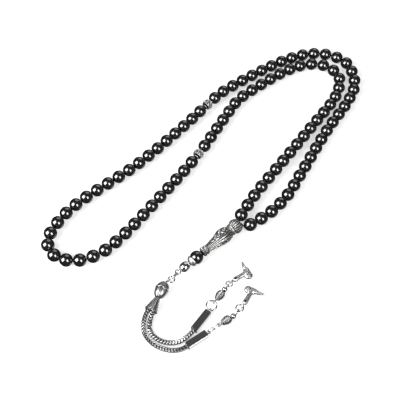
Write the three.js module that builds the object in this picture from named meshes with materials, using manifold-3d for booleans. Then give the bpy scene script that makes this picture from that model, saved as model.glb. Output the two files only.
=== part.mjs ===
// A misbaha: a loop of ninety-nine drilled beads on one cord, with two openwork dividers,
// an ornate imame that gathers both ends of the cord, and a tassel of two woven chains.
// It lies flat on a surface at z = 0. Millimetres, +Z up.
import * as THREE from 'three';
import { mergeVertices } from 'three/addons/utils/BufferGeometryUtils.js';
import Module from 'manifold-3d';

const wasm = await Module();
wasm.setup();

// Driving dimensions.
const BEAD_RADIUS = 4;
const DIVIDER_RADIUS = 3.45;
const BORE_RADIUS = 0.85;
const CORD_RADIUS = 0.4;
const NECK_RADIUS = 1.5;
const SECTION_BEADS = 33;
const WIRE_RADIUS = 0.4;
const BRAID_RADIUS = 1.55;
const TUBE_WIDTH = 4.2;
const TUBE_HEIGHT = 3.8;
const TASSEL_HEIGHT = TUBE_HEIGHT / 2;
const LINK_PLAY = 0.1;
const FACE_GAP = 0.3;
const PLACE = [-0.4, -1.6, 0];

// The loop's route through the bead centres, from the bead at one side of the imame to the
// bead at the other, as plan positions.
const LOOP_ROUTE = [
  [18, -22.5], [27, -8], [49, 21.5], [71, 51], [80, 63], [86, 74.5], [87.5, 86], [81, 95],
  [68.5, 97.5], [54, 92.5], [30, 76], [18.5, 66], [9, 51], [-9.5, 20], [-34, -13],
  [-54, -38], [-65.5, -48.5], [-80, -53.5], [-92, -50.5], [-97.5, -41], [-92.5, -27.5],
  [-82.5, -15], [-47, 14], [-17, 45], [6.5, 71.5], [19, 81], [43, 96.5], [56, 103],
  [70, 107], [83.5, 105.5], [93.5, 99], [97.5, 87], [97, 77], [91.5, 65], [75.5, 41],
  [56, 7], [46.5, -9], [35.5, -21], [23, -29.5],
];

// The two woven chains, from inside the cone's mouth to inside their square tubes.
const INNER_BRAID_ROUTE = [
  [-33, -85, 3.9], [-34.6, -88.8, 3.1], [-35.3, -92.6, 2.1], [-34.8, -96.2, 1.75],
  [-32.6, -99.5, 1.75], [-28.6, -102.2, 1.75], [-23.8, -103.3, 1.75], [-19.2, -102.7, 1.75],
  [-15.4, -100.6, 1.8], [-12.6, -98.1, 1.9], [-9.9, -95.1, 1.9],
];
const OUTER_BRAID_ROUTE = [
  [-35.9, -83.7, 3.9], [-37.8, -87.8, 3.1], [-38.7, -92.3, 2.1], [-38.1, -97, 1.75],
  [-35.3, -101.4, 1.75], [-30.9, -105, 1.75], [-25.6, -107.1, 1.75], [-20.6, -107.6, 1.8],
  [-16.8, -106.7, 1.9], [-13.2, -104.6, 1.9],
];

// Where the tassel's pieces lie: a start point and the point that each one heads for.
const HEAD = { from: [14.3, -31, 4.95], towards: [-60.9, -97, 2.45] };
const CROWN = { from: [-26.9, -67.6, 3.95], towards: [-31, -76.72, 3.95] };
const JUMP_RING_CENTRE = [-23.45, -65.34, 3.55];
const CROWN_EYE_TOWARDS = [-26.4, -66.7, 3.8];
const INNER_TUBE = { from: [-10.5, -95.9], towards: [-2.2, -84.8] };
const OUTER_TUBE = { from: [-14, -105.1], towards: [-3.3, -97.9] };
const INNER_RING_CENTRE = [-0.48, -81.18, 2.25];
const INNER_BARREL_TOWARDS = [8.3, -69.9, 2.8];
const INNER_TOP_RING_CENTRE = [9.9, -67.7, 2.5];
const INNER_CHARM = { from: [11, -66.4, 2.4], towards: [18.9, -61.1, 2] };
const OUTER_BARREL = { from: [3, -93.3, 2.5], towards: [11.45, -87.96, 2.8] };
const OUTER_TOP_RING_CENTRE = [15.5, -82.7, 2.5];
const OUTER_CHARM = { from: [18, -81.1, 2.4], towards: [22.6, -72.4, 2] };

const material = (color, roughness, metalness) =>
  new THREE.MeshStandardMaterial({ color, roughness, metalness });
const hematite = () => material(0x17171a, 0.1, 0.85);
const castSilver = () => material(0xaeaeab, 0.4, 1);
const brightSilver = () => material(0xd8d8d6, 0.15, 1);
const wovenSilver = () => material(0x9d9d9b, 0.35, 1);
const thread = () => material(0x141414, 0.8, 0);

// ---- Solids -------------------------------------------------------------------------

// Merge shared corners, drop triangles that have none of their own, and face outwards.
function closedBody(geometry) {
  geometry.deleteAttribute('normal');
  geometry.deleteAttribute('uv');
  const merged = mergeVertices(geometry, 1e-4);
  const p = merged.attributes.position;
  const corner = (i) => new THREE.Vector3().fromBufferAttribute(p, i);
  const kept = [];
  let volume = 0;
  for (let i = 0; i < merged.index.count; i += 3) {
    const [a, b, c] = [0, 1, 2].map((n) => merged.index.getX(i + n));
    if (a === b || b === c || c === a) continue;
    kept.push(a, b, c);
    volume += corner(a).dot(corner(b).cross(corner(c)));
  }
  merged.setIndex(volume < 0 ? kept.reverse() : kept);
  return merged;
}

function toManifold(geometry) {
  const body = closedBody(geometry);
  return new wasm.Manifold(new wasm.Mesh({
    numProp: 3,
    vertProperties: new Float32Array(body.attributes.position.array),
    triVerts: new Uint32Array(body.index.array),
  }));
}

function fromManifold(manifold) {
  const mesh = manifold.getMesh();
  const geometry = new THREE.BufferGeometry();
  geometry.setAttribute('position', new THREE.BufferAttribute(mesh.vertProperties, 3));
  geometry.setIndex(new THREE.BufferAttribute(mesh.triVerts, 1));
  return geometry;
}

const join = (...pieces) =>
  fromManifold(pieces.map(toManifold).reduce((whole, piece) => whole.add(piece)));
const cut = (piece, tool) => fromManifold(toManifold(piece).subtract(toManifold(tool)));

// A turned piece about +Y, from a profile of [radius, station] points.
function turned(profile, sides = 12) {
  const points = profile.map(([radius, station]) => new THREE.Vector2(radius, station));
  return new THREE.LatheGeometry(points, sides);
}

// A turned piece with a straight bore: the outside's profile, closed along the bore.
function drilled(outside, bore, sides = 12) {
  const first = outside[0][1];
  const last = outside[outside.length - 1][1];
  return turned([[bore, first], ...outside, [bore, last], [bore, first]], sides);
}

function arc(radius, from, to, steps, station = 0) {
  return Array.from({ length: steps + 1 }, (_, i) => {
    const angle = from + ((to - from) * i) / steps;
    return [radius * Math.sin(angle), station - radius * Math.cos(angle)];
  });
}

// A drilled ball, with its bore along +Y.
function drilledBall(radius, bore, sides = 12, steps = 8) {
  const mouth = Math.asin(bore / radius);
  const outside = arc(radius, mouth, Math.PI - mouth, steps);
  return turned([...outside, outside[0]], sides);
}

// A wire ring in the XY plane that hooks its neighbour at the origin and reaches along +Y.
function flatRing(radius, wire = WIRE_RADIUS, stretch = 0, segments = 12) {
  const ring = new THREE.TorusGeometry(radius, wire, 6, segments);
  const p = ring.attributes.position;
  for (let i = 0; i < p.count; i++) {
    const straight = p.getY(i) > wire / 2 ? stretch : 0;
    p.setY(i, p.getY(i) + radius + straight);
  }
  return ring;
}

const uprightRing = (...sizes) => flatRing(...sizes).rotateY(Math.PI / 2);

function cylinderBetween(from, to, fromRadius, toRadius = fromRadius, sides = 8) {
  const start = new THREE.Vector3(...from);
  const along = new THREE.Vector3(...to).sub(start);
  const rod = new THREE.CylinderGeometry(toRadius, fromRadius, along.length(), sides);
  rod.translate(0, along.length() / 2, 0);
  const turn = new THREE.Quaternion();
  turn.setFromUnitVectors(new THREE.Vector3(0, 1, 0), along.normalize());
  return rod.applyQuaternion(turn).translate(...start.toArray());
}

function tubeAlong(curve, radius, steps, sides = 8) {
  const section = new THREE.Shape();
  for (let i = 0; i < sides; i++) {
    const angle = (2 * Math.PI * (i + 0.5)) / sides;
    const corner = [radius * Math.cos(angle), radius * Math.sin(angle)];
    if (i === 0) section.moveTo(...corner);
    else section.lineTo(...corner);
  }
  return new THREE.ExtrudeGeometry(section, { steps, extrudePath: curve });
}

// ---- The tree -----------------------------------------------------------------------

const misbaha = new THREE.Group();

function add(name, geometry, finish, parent = misbaha) {
  const mesh = new THREE.Mesh(closedBody(geometry), finish);
  mesh.name = name;
  parent.add(mesh);
  return mesh;
}

const lift = (p, height = TASSEL_HEIGHT) => new THREE.Vector3(p[0], p[1], p[2] ?? height);

// A group whose +Y runs from one point towards another, with +Z as near to upright as it goes.
function lyingGroup(from, towards) {
  const ahead = lift(towards).sub(lift(from)).normalize();
  const side = ahead.clone().cross(new THREE.Vector3(0, 0, 1)).normalize();
  const up = side.clone().cross(ahead);
  const group = new THREE.Group();
  group.quaternion.setFromRotationMatrix(new THREE.Matrix4().makeBasis(side, ahead, up));
  group.position.copy(lift(from));
  misbaha.add(group);
  return group;
}

// ---- The loop -----------------------------------------------------------------------

const beadCount = 3 * SECTION_BEADS + 2;
const dividers = [SECTION_BEADS, 2 * SECTION_BEADS + 1];
const isDivider = (k) => dividers.includes(k);
const radiusOf = (k) => (isDivider(k) ? DIVIDER_RADIUS : BEAD_RADIUS);

const loopCurve = new THREE.CatmullRomCurve3(
  LOOP_ROUTE.map(([x, y]) => new THREE.Vector3(x, y, BEAD_RADIUS)),
);
const finePoints = loopCurve.getPoints(40 * LOOP_ROUTE.length);

// Bead centres stepped along the route, each pair a fixed gap apart, as many as fit.
function stepBeads(gap) {
  const centres = [finePoints[0]];
  let i = 0;
  while (centres.length < beadCount) {
    const k = centres.length;
    const reach = radiusOf(k - 1) + radiusOf(k) + gap;
    const last = centres[k - 1];
    while (i < finePoints.length - 1 && finePoints[i].distanceTo(last) < reach) i++;
    if (i === finePoints.length - 1) break;
    const [before, after] = [finePoints[i - 1], finePoints[i]];
    const near = before.distanceTo(last);
    const share = (reach - near) / (after.distanceTo(last) - near);
    centres.push(before.clone().lerp(after, share));
  }
  return centres;
}

// The spare cord is shared equally between the beads, so the last one ends the route.
function spacedBeads() {
  let [low, high] = [0, 1];
  for (let i = 0; i < 40; i++) {
    const gap = (low + high) / 2;
    if (stepBeads(gap).length === beadCount) low = gap;
    else high = gap;
  }
  return stepBeads(low);
}

const centres = spacedBeads();
const up = new THREE.Vector3(0, 0, 1);
const headings = centres.map((_, k) => {
  const ahead = centres[Math.min(k + 1, beadCount - 1)].clone();
  return ahead.sub(centres[Math.max(k - 1, 0)]).normalize();
});

// The point where the cord passes from bead k - 1 into bead k.
function meeting(k) {
  if (k === 0) return centres[0].clone().addScaledVector(headings[0], -BEAD_RADIUS);
  const [a, b] = [k - 1, Math.min(k, beadCount - 1)];
  if (k === beadCount) return centres[a].clone().addScaledVector(headings[a], BEAD_RADIUS);
  const span = centres[a].distanceTo(centres[b]);
  const lean = headings[a].dot(headings[b]);
  const half = span / (1 + lean);
  const after = centres[a].clone().addScaledVector(headings[a], half);
  const before = centres[b].clone().addScaledVector(headings[b], -half);
  return after.add(before).multiplyScalar(0.5);
}

const meetings = Array.from({ length: beadCount + 1 }, (_, k) => meeting(k));

// Beads first..last as one string: turned straight with a station every STATION mm, then
// bent so that each bead sits square on the cord and the bore turns where two beads meet.
const STATION = 10;
function beadString(first, last) {
  const neck = Math.asin(NECK_RADIUS / BEAD_RADIUS);
  const mouth = Math.asin(BORE_RADIUS / BEAD_RADIUS);
  const outside = [];
  const bore = [];
  for (let k = first; k <= last; k++) {
    const station = STATION * (k - first);
    const from = k === first ? mouth : neck;
    const to = Math.PI - (k === last ? mouth : neck);
    outside.push(...arc(BEAD_RADIUS, from, to, 4, station));
    if (k < last) bore.unshift([BORE_RADIUS, station + STATION / 2]);
  }
  const string = turned([...outside, ...bore, outside[0]], 8);
  const p = string.attributes.position;
  for (let i = 0; i < p.count; i++) {
    const k = first + Math.round(p.getY(i) / STATION - 1e-6);
    const along = p.getY(i) - STATION * (k - first);
    const between = along > STATION / 2 - 1e-3;
    const heading = headings[k].clone();
    if (between) heading.add(headings[k + 1]).normalize();
    const side = heading.clone().cross(up);
    const at = between ? meetings[k + 1].clone() : centres[k].clone();
    if (!between) at.addScaledVector(heading, along);
    at.addScaledVector(side, p.getX(i)).addScaledVector(up, p.getZ(i));
    p.setXYZ(i, at.x, at.y, at.z);
  }
  return string;
}

// The cord's polyline is straight inside each bead and turns where two beads meet.
class CordRun extends THREE.Curve {
  constructor(points) {
    super();
    this.points = points;
  }

  getPointAt(u) {
    const t = u * (this.points.length - 1);
    const i = Math.min(Math.floor(t + 1e-9), this.points.length - 2);
    return this.points[i].clone().lerp(this.points[i + 1], t - i);
  }

  getTangentAt(u) {
    const i = Math.round(u * (this.points.length - 1));
    const after = this.points[Math.min(i + 1, this.points.length - 1)].clone();
    return after.sub(this.points[Math.max(i - 1, 0)]).normalize();
  }
}

function addCord(name, points) {
  const run = points.map((p) => p.clone());
  const last = run.length - 1;
  run[0].lerp(run[1], FACE_GAP / 2 / run[0].distanceTo(run[1]));
  run[last].lerp(run[last - 1], FACE_GAP / 2 / run[last].distanceTo(run[last - 1]));
  add(name, tubeAlong(new CordRun(run), CORD_RADIUS, last, 6), thread());
}

// The strand folds along four lines that cross both of its runs between two beads, so the
// cord is in one length for each stretch between folds.
const headFrom = lift(HEAD.from);
const headAlong = lift(HEAD.towards).sub(headFrom).normalize();
const headSide = headAlong.clone().cross(up).normalize();
const KNOB_MOUTH = 3.9;
const cordEnd = (side) => headFrom.clone()
  .addScaledVector(headAlong, -KNOB_MOUTH)
  .addScaledVector(headSide, 1.25 * CORD_RADIUS * side);

const cordBetween = (from, to) => meetings.slice(from, to + 1);
addCord('cord_imame_inner', [cordEnd(1), ...cordBetween(0, 8)]);
addCord('cord_right_inner', cordBetween(8, 23));
addCord('cord_top_inner', cordBetween(23, 37));
addCord('cord_left_inner', cordBetween(37, 42));
addCord('cord_far_turn', cordBetween(42, 54));
addCord('cord_left_outer', cordBetween(54, 59));
addCord('cord_top_outer', cordBetween(59, 74));
addCord('cord_right_outer', cordBetween(74, 92));
addCord('cord_imame_outer', [...cordBetween(92, beadCount), cordEnd(-1)]);

const BEAD_RUNS = [
  [1, 7], [8, 15], [16, 22], [23, 27], [28, 32], [34, 36], [37, 41], [42, 45], [46, 49],
  [50, 53], [54, 58], [59, 62], [63, 66], [68, 73], [74, 79], [80, 85], [86, 91], [92, 99],
];
const threeDigits = (k) => String(k).padStart(3, '0');
for (const [first, last] of BEAD_RUNS) {
  const name = `beads_${threeDigits(first)}_${threeDigits(last)}`;
  add(name, beadString(first, last), hematite());
}

function addOnCord(name, k, geometry, finish) {
  const ahead = centres[k].clone().add(headings[k]);
  add(name, geometry, finish, lyingGroup(centres[k].toArray(), ahead.toArray()));
}

addOnCord('bead_first', 0, drilledBall(BEAD_RADIUS, BORE_RADIUS), hematite());
addOnCord('bead_last', beadCount - 1, drilledBall(BEAD_RADIUS, BORE_RADIUS), hematite());
dividers.forEach((k, i) => {
  addOnCord(`divider_${i + 1}`, k, drilledBall(DIVIDER_RADIUS, BORE_RADIUS), castSilver());
});

// ---- The imame and what is threaded below it ------------------------------------------

const head = lyingGroup(HEAD.from, HEAD.towards);
const IMAME_BORE = 1.3;
const PIN_RADIUS = 0.5;
const PIN_BORE = 0.8;

add('imame_knob', drilled([
  [2.2, -3.3], [3.6, -2.4], [4.4, -0.9], [4.5, 0.4], [4, 1.9], [3, 2.9],
], IMAME_BORE, 16), castSilver(), head);

add('imame_washer', drilled([[3.1, 3.2], [3.5, 3.6], [3.1, 4]], IMAME_BORE, 16),
  brightSilver(), head);

add('imame_body', drilled([
  [2.9, 4.3], [3.4, 5.2], [4.3, 7.4], [4.65, 9.8], [4.35, 12], [3.5, 15.2], [2.75, 19],
  [2.35, 22.8], [2.8, 23.2], [2.8, 24.1], [2.4, 24.5], [2.9, 25], [2.9, 26.2], [2.2, 26.7],
], IMAME_BORE, 16), castSilver(), head);

// Both ends of the cord side by side down the imame, tied in one knot at the end.
const KNOT_STATION = 19;
const doubledCord = cylinderBetween([0, -3.2, 0], [0, KNOT_STATION, 0], CORD_RADIUS, CORD_RADIUS, 6);
doubledCord.scale(2, 1, 1);
const knot = new THREE.SphereGeometry(1.05, 8, 6).translate(0, KNOT_STATION, 0);
add('cord_tail', join(doubledCord, knot), thread(), head);

// A headed wire holds the last bead, its cap and the oval bead, and ends in an eye.
const PIN_HEAD_STATION = 21.5;
const EYE_STATION = 45.4;
const EYE_RADIUS = 1.45;
const EYE_WIRE = 0.45;
const pinWire = cylinderBetween(
  [0, PIN_HEAD_STATION, 0], [0, EYE_STATION - EYE_RADIUS, 0], PIN_RADIUS,
);
const pinHead = new THREE.SphereGeometry(1.05, 8, 6).translate(0, PIN_HEAD_STATION, 0);
const pinEye = flatRing(EYE_RADIUS, EYE_WIRE).translate(0, EYE_STATION - EYE_RADIUS, 0);
add('head_pin', join(pinWire, pinHead, pinEye), brightSilver(), head);

const END_BEAD_STATION = 31.05;
add('end_bead', drilledBall(BEAD_RADIUS, PIN_BORE), hematite(), head)
  .position.y = END_BEAD_STATION;

add('flared_cap', drilled([[3.3, 35.3], [3.3, 35.7], [1.5, 36.4]], PIN_BORE, 16),
  brightSilver(), head);

const OVAL_STATION = 40.1;
const OVAL_STRETCH = 1.18;
const ovalBead = drilledBall(2.95, PIN_BORE).scale(1, OVAL_STRETCH, 1);
add('oval_bead', ovalBead, brightSilver(), head).position.y = OVAL_STATION;

// ---- The link and the jump ring --------------------------------------------------------

const HOOKED = 2 * WIRE_RADIUS + LINK_PLAY;
const JUMP_RING_RADIUS = 1.8;
const LINK_RADIUS = 1.05;
const eyeCentre = headFrom.clone().addScaledVector(headAlong, EYE_STATION);
const ringCentre = lift(JUMP_RING_CENTRE);
const towardsRing = ringCentre.clone().sub(eyeCentre).normalize();
const linkStart = eyeCentre.clone()
  .addScaledVector(towardsRing, EYE_RADIUS - EYE_WIRE - WIRE_RADIUS - LINK_PLAY);
const ringEdge = ringCentre.clone().addScaledVector(towardsRing, -JUMP_RING_RADIUS);
const linkLength = linkStart.distanceTo(ringEdge) + HOOKED;
add('oval_link', uprightRing(LINK_RADIUS, WIRE_RADIUS, linkLength - 2 * LINK_RADIUS),
  brightSilver(), lyingGroup(linkStart.toArray(), ringCentre.toArray()));
add('jump_ring', flatRing(JUMP_RING_RADIUS, WIRE_RADIUS, 0, 16), brightSilver(),
  lyingGroup(ringEdge.toArray(), ringCentre.toArray()));

// ---- The crown bead and the bell cone on one wire ---------------------------------------

const crown = lyingGroup(CROWN.from, CROWN.towards);
crown.updateMatrixWorld();

add('crown_bead', drilled([
  [1.2, 0], [2, 0.5], [3.1, 2], [3.75, 4], [3.8, 5.2], [3.4, 7.2], [2.5, 9], [1.6, 10.2],
], PIN_BORE, 16), castSilver(), crown);

const CONE_TOP = 10.5;
const CONE_MOUTH = 19;
add('bell_cone', turned([
  [PIN_BORE, CONE_TOP], [1.75, CONE_TOP], [3.9, CONE_MOUTH - 0.4], [3.9, CONE_MOUTH],
  [3.5, CONE_MOUTH], [1.5, 12.5], [PIN_BORE, 12], [PIN_BORE, CONE_TOP],
], 16), castSilver(), crown);

// The wire's eye hooks the jump ring from the side, and its end is beaded inside the cone.
const CROWN_EYE_RADIUS = 1.1;
const crownEyeHeading = lift(CROWN_EYE_TOWARDS).sub(ringCentre).normalize();
const eyeHook = crown.worldToLocal(
  ringCentre.clone().addScaledVector(crownEyeHeading, JUMP_RING_RADIUS - HOOKED),
);
const eyeHeading = crown.worldToLocal(ringCentre.clone()).sub(eyeHook).negate().normalize();
const eyeTurn = new THREE.Quaternion();
eyeTurn.setFromUnitVectors(new THREE.Vector3(0, 1, 0), eyeHeading);
const crownEye = uprightRing(CROWN_EYE_RADIUS, WIRE_RADIUS).applyQuaternion(eyeTurn);
crownEye.translate(...eyeHook.toArray());
const eyeBack = eyeHook.clone().addScaledVector(eyeHeading, 2 * CROWN_EYE_RADIUS);
const crownNeck = cylinderBetween(eyeBack.toArray(), [0, 0.4, 0], WIRE_RADIUS, PIN_RADIUS);
const crownWire = cylinderBetween([0, 0.1, 0], [0, 14, 0], PIN_RADIUS);
const wireEnd = new THREE.SphereGeometry(1, 8, 6).translate(0, 14, 0);
add('crown_pin', join(crownEye, crownNeck, crownWire, wireEnd), brightSilver(), crown);

// ---- The two woven chains and their square tubes ------------------------------------------

function addBraid(name, route) {
  const curve = new THREE.CatmullRomCurve3(route.map((p) => new THREE.Vector3(...p)));
  add(name, tubeAlong(curve, BRAID_RADIUS, 16), wovenSilver());
}

addBraid('braid_inner', INNER_BRAID_ROUTE);
addBraid('braid_outer', OUTER_BRAID_ROUTE);

const EYELET_RADIUS = 1;
const EYELET_REACH = 1.1;
const SOCKET_DEPTH = 3;
const SOCKET_RADIUS = BRAID_RADIUS + 0.25;

// A square tube lies on its flat side: a braid goes into one end, an eyelet closes the other.
function addTube(name, { from, towards }) {
  const length = lift(from).distanceTo(lift(towards));
  const box = new THREE.BoxGeometry(TUBE_WIDTH, length, TUBE_HEIGHT).translate(0, length / 2, 0);
  const socket = cylinderBetween([0, -1, 0], [0, SOCKET_DEPTH, 0], SOCKET_RADIUS, SOCKET_RADIUS, 12);
  const eyelet = uprightRing(EYELET_RADIUS).translate(0, length + EYELET_REACH - EYELET_RADIUS, 0);
  add(name, join(cut(box, socket), eyelet), brightSilver(), lyingGroup(from, towards));
  const along = lift(towards).sub(lift(from)).normalize();
  return lift(towards).addScaledVector(along, EYELET_REACH);
}

const innerEyelet = addTube('tube_inner', INNER_TUBE);
const outerEyelet = addTube('tube_outer', OUTER_TUBE);

// A flat ring that starts at a wire's centre, with its own centre towards a point.
function addRing(name, from, centre, wire = WIRE_RADIUS) {
  const radius = from.distanceTo(centre);
  const group = lyingGroup(from.toArray(), centre.toArray());
  add(name, flatRing(radius, wire, 0, 16), brightSilver(), group);
  return radius;
}

const farSide = (centre, towards, radius) =>
  centre.clone().addScaledVector(towards.clone().sub(centre).normalize(), radius);

// ---- Coil-wrapped barrels -----------------------------------------------------------------

const BARREL_LENGTH = 6.4;
const BARREL_EYE = 0.9;
const BALL_RADIUS = 1.6;

// The coil from a station on, on a wire with an eye at its start.
function coilBarrel(station, startEye) {
  const coil = turned([
    [0, station], [1.2, station], [1.7, station + 0.9], [2.5, station + 3],
    [2.6, station + 4.2], [2, station + 5.8], [1.5, station + BARREL_LENGTH],
    [0, station + BARREL_LENGTH],
  ], 12);
  const ballStation = station + BARREL_LENGTH + 0.1 + BALL_RADIUS;
  const wire = cylinderBetween(
    [0, station - 1, 0], [0, ballStation + BALL_RADIUS + 0.3, 0], WIRE_RADIUS,
  );
  return { body: [startEye, coil, wire], ballStation };
}

const ballBead = () => drilledBall(BALL_RADIUS, 0.65, 12, 6);

const innerRingCentre = lift(INNER_RING_CENTRE);
const innerRingRadius = addRing('ring_inner', innerEyelet, innerRingCentre);
const innerBarrelStart = farSide(innerRingCentre, lift(INNER_BARREL_TOWARDS), innerRingRadius);
const innerBarrelGroup = lyingGroup(innerBarrelStart.toArray(), INNER_BARREL_TOWARDS);
const innerCoil = coilBarrel(1.5, uprightRing(BARREL_EYE).translate(0, -BARREL_EYE, 0));
const INNER_END_EYE = 12.3;
const innerEndEye = uprightRing(BARREL_EYE).translate(0, INNER_END_EYE - BARREL_EYE, 0);
add('barrel_inner', join(...innerCoil.body, innerEndEye), castSilver(), innerBarrelGroup);
add('ball_inner', ballBead(), brightSilver(), innerBarrelGroup)
  .position.y = innerCoil.ballStation;

const innerTopRingCentre = lift(INNER_TOP_RING_CENTRE);
const innerTopHook = innerBarrelStart.clone().addScaledVector(
  lift(INNER_BARREL_TOWARDS).sub(innerBarrelStart).normalize(), INNER_END_EYE,
);
const innerTopRingRadius = addRing('top_ring_inner', innerTopHook, innerTopRingCentre);

// Two oval links, one flat and one upright, lead to the outer barrel.
const outerBarrelStart = lift(OUTER_BARREL.from);
const LINK_WIRE = 0.36;
const SMALL_LINK_RADIUS = 0.95;
const smallHook = 2 * LINK_WIRE + LINK_PLAY;
const linkHeading = outerBarrelStart.clone().sub(outerEyelet).normalize();
const smallLinkLength = (outerEyelet.distanceTo(outerBarrelStart) + 2 * smallHook) / 2;
const smallStretch = smallLinkLength - 2 * SMALL_LINK_RADIUS;
const secondStart = outerEyelet.clone().addScaledVector(linkHeading, smallLinkLength - smallHook);
add('link_flat_outer', flatRing(SMALL_LINK_RADIUS, LINK_WIRE, smallStretch), brightSilver(),
  lyingGroup(outerEyelet.toArray(), outerBarrelStart.toArray()));
add('link_upright_outer', uprightRing(SMALL_LINK_RADIUS, LINK_WIRE, smallStretch),
  brightSilver(), lyingGroup(secondStart.toArray(), outerBarrelStart.toArray()));

const outerBarrelGroup = lyingGroup(OUTER_BARREL.from, OUTER_BARREL.towards);
outerBarrelGroup.updateMatrixWorld();
const outerCoil = coilBarrel(2.3, flatRing(SMALL_LINK_RADIUS, LINK_WIRE));
const outerTopRingCentre = lift(OUTER_TOP_RING_CENTRE);
const OUTER_TOP_RING_RADIUS = 2.1;
const OUTER_EYE_STRETCH = 1.1;
const ballEnd = outerBarrelGroup.localToWorld(
  new THREE.Vector3(0, outerCoil.ballStation + BALL_RADIUS + 0.25, 0),
);
const topHeading = outerTopRingCentre.clone().sub(ballEnd).normalize();
const outerTopHook = outerTopRingCentre.clone()
  .addScaledVector(topHeading, -OUTER_TOP_RING_RADIUS);
const outerEyeLength = 2 * BARREL_EYE + OUTER_EYE_STRETCH;
const outerEyeStart = outerTopHook.clone()
  .addScaledVector(topHeading, HOOKED - outerEyeLength);
const localHeading = outerBarrelGroup.worldToLocal(outerTopHook.clone())
  .sub(outerBarrelGroup.worldToLocal(outerEyeStart.clone())).normalize();
const outerEyeTurn = new THREE.Quaternion();
outerEyeTurn.setFromUnitVectors(new THREE.Vector3(0, 1, 0), localHeading);
const outerEndEye = uprightRing(BARREL_EYE, WIRE_RADIUS, OUTER_EYE_STRETCH)
  .applyQuaternion(outerEyeTurn)
  .translate(...outerBarrelGroup.worldToLocal(outerEyeStart.clone()).toArray());
const outerNeck = cylinderBetween(
  [0, outerCoil.ballStation + BALL_RADIUS, 0],
  outerBarrelGroup.worldToLocal(outerEyeStart.clone()).toArray(), WIRE_RADIUS,
);
add('barrel_outer', join(...outerCoil.body, outerNeck, outerEndEye), castSilver(),
  outerBarrelGroup);
add('ball_outer', ballBead(), brightSilver(), outerBarrelGroup)
  .position.y = outerCoil.ballStation;
addRing('top_ring_outer', outerTopHook, outerTopRingCentre);

// ---- The two cast charms --------------------------------------------------------------------

const BAIL_RADIUS = 1.2;

// A bail and stem along +Y, with a crossbar that is a round lobe on +X and a tail on -X.
function charm() {
  const bail = uprightRing(BAIL_RADIUS, LINK_WIRE).translate(0, -BAIL_RADIUS, 0);
  const stem = turned([[0, 1.2], [1, 1.2], [1.35, 2.6], [1.3, 10.2], [0, 10.2]], 8);
  const ridge = new THREE.SphereGeometry(1, 10, 8).scale(2.7, 1.9, 1.55).translate(0, 11, 0);
  const lobe = new THREE.SphereGeometry(1, 10, 8).scale(2.1, 2.4, 1.5).translate(2.5, 11.1, 0);
  const tail = cylinderBetween([-1.2, 11.3, 0], [-6.9, 12.4, 0], 1.25, 0.5);
  return join(bail, stem, ridge, lobe, tail);
}

// The bail's eye is on the ring's wire, on the side that the charm hangs from.
function addCharm(name, geometry, { from, towards }, ringCentreAt, ringRadius) {
  const hook = farSide(ringCentreAt, lift(from), ringRadius);
  add(name, geometry, castSilver(), lyingGroup(hook.toArray(), towards));
}

addCharm('charm_inner', charm(), INNER_CHARM, innerTopRingCentre, innerTopRingRadius);
addCharm('charm_outer', charm().rotateY(Math.PI), OUTER_CHARM, outerTopRingCentre,
  OUTER_TOP_RING_RADIUS);

// The origin is on the surface, under the middle of the whole.
misbaha.position.set(...PLACE);

export default misbaha;
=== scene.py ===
"""Prayer beads of polished black stone with a silver imame and tassel, laid on a pale table.

Sizes in this file are in millimetres; a mesh turns into metres when its piece is made.
"""
import math

import bmesh
import bpy
import numpy as np
from mathutils import Matrix, Vector


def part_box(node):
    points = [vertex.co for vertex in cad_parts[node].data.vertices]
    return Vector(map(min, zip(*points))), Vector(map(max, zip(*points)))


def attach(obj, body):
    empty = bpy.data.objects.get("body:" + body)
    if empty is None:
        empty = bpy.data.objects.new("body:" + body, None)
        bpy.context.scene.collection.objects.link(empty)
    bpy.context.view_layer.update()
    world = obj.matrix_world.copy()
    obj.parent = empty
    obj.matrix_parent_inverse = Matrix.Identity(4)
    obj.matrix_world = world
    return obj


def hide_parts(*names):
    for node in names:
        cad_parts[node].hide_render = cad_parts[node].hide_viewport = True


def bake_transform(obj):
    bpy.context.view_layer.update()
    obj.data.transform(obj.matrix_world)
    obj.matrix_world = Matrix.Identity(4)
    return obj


bl_info = {
    "name": "Prayer Bead Maker",
    "version": (1, 0, 0),
    "blender": (4, 5, 0),
    "location": "View3D > Sidebar > Prayer beads",
    "description": "Makes a strand of prayer beads around its packed frame",
    "category": "Add Mesh",
}

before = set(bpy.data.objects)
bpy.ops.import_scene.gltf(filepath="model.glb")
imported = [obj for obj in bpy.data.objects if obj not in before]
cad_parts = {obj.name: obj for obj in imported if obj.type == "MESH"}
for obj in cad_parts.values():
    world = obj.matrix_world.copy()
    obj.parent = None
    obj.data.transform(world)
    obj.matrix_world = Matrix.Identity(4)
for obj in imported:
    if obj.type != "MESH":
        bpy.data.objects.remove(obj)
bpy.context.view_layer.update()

MM = 0.001
TURN = 2 * math.pi
UP = np.array([0.0, 0.0, 1.0])

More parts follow.
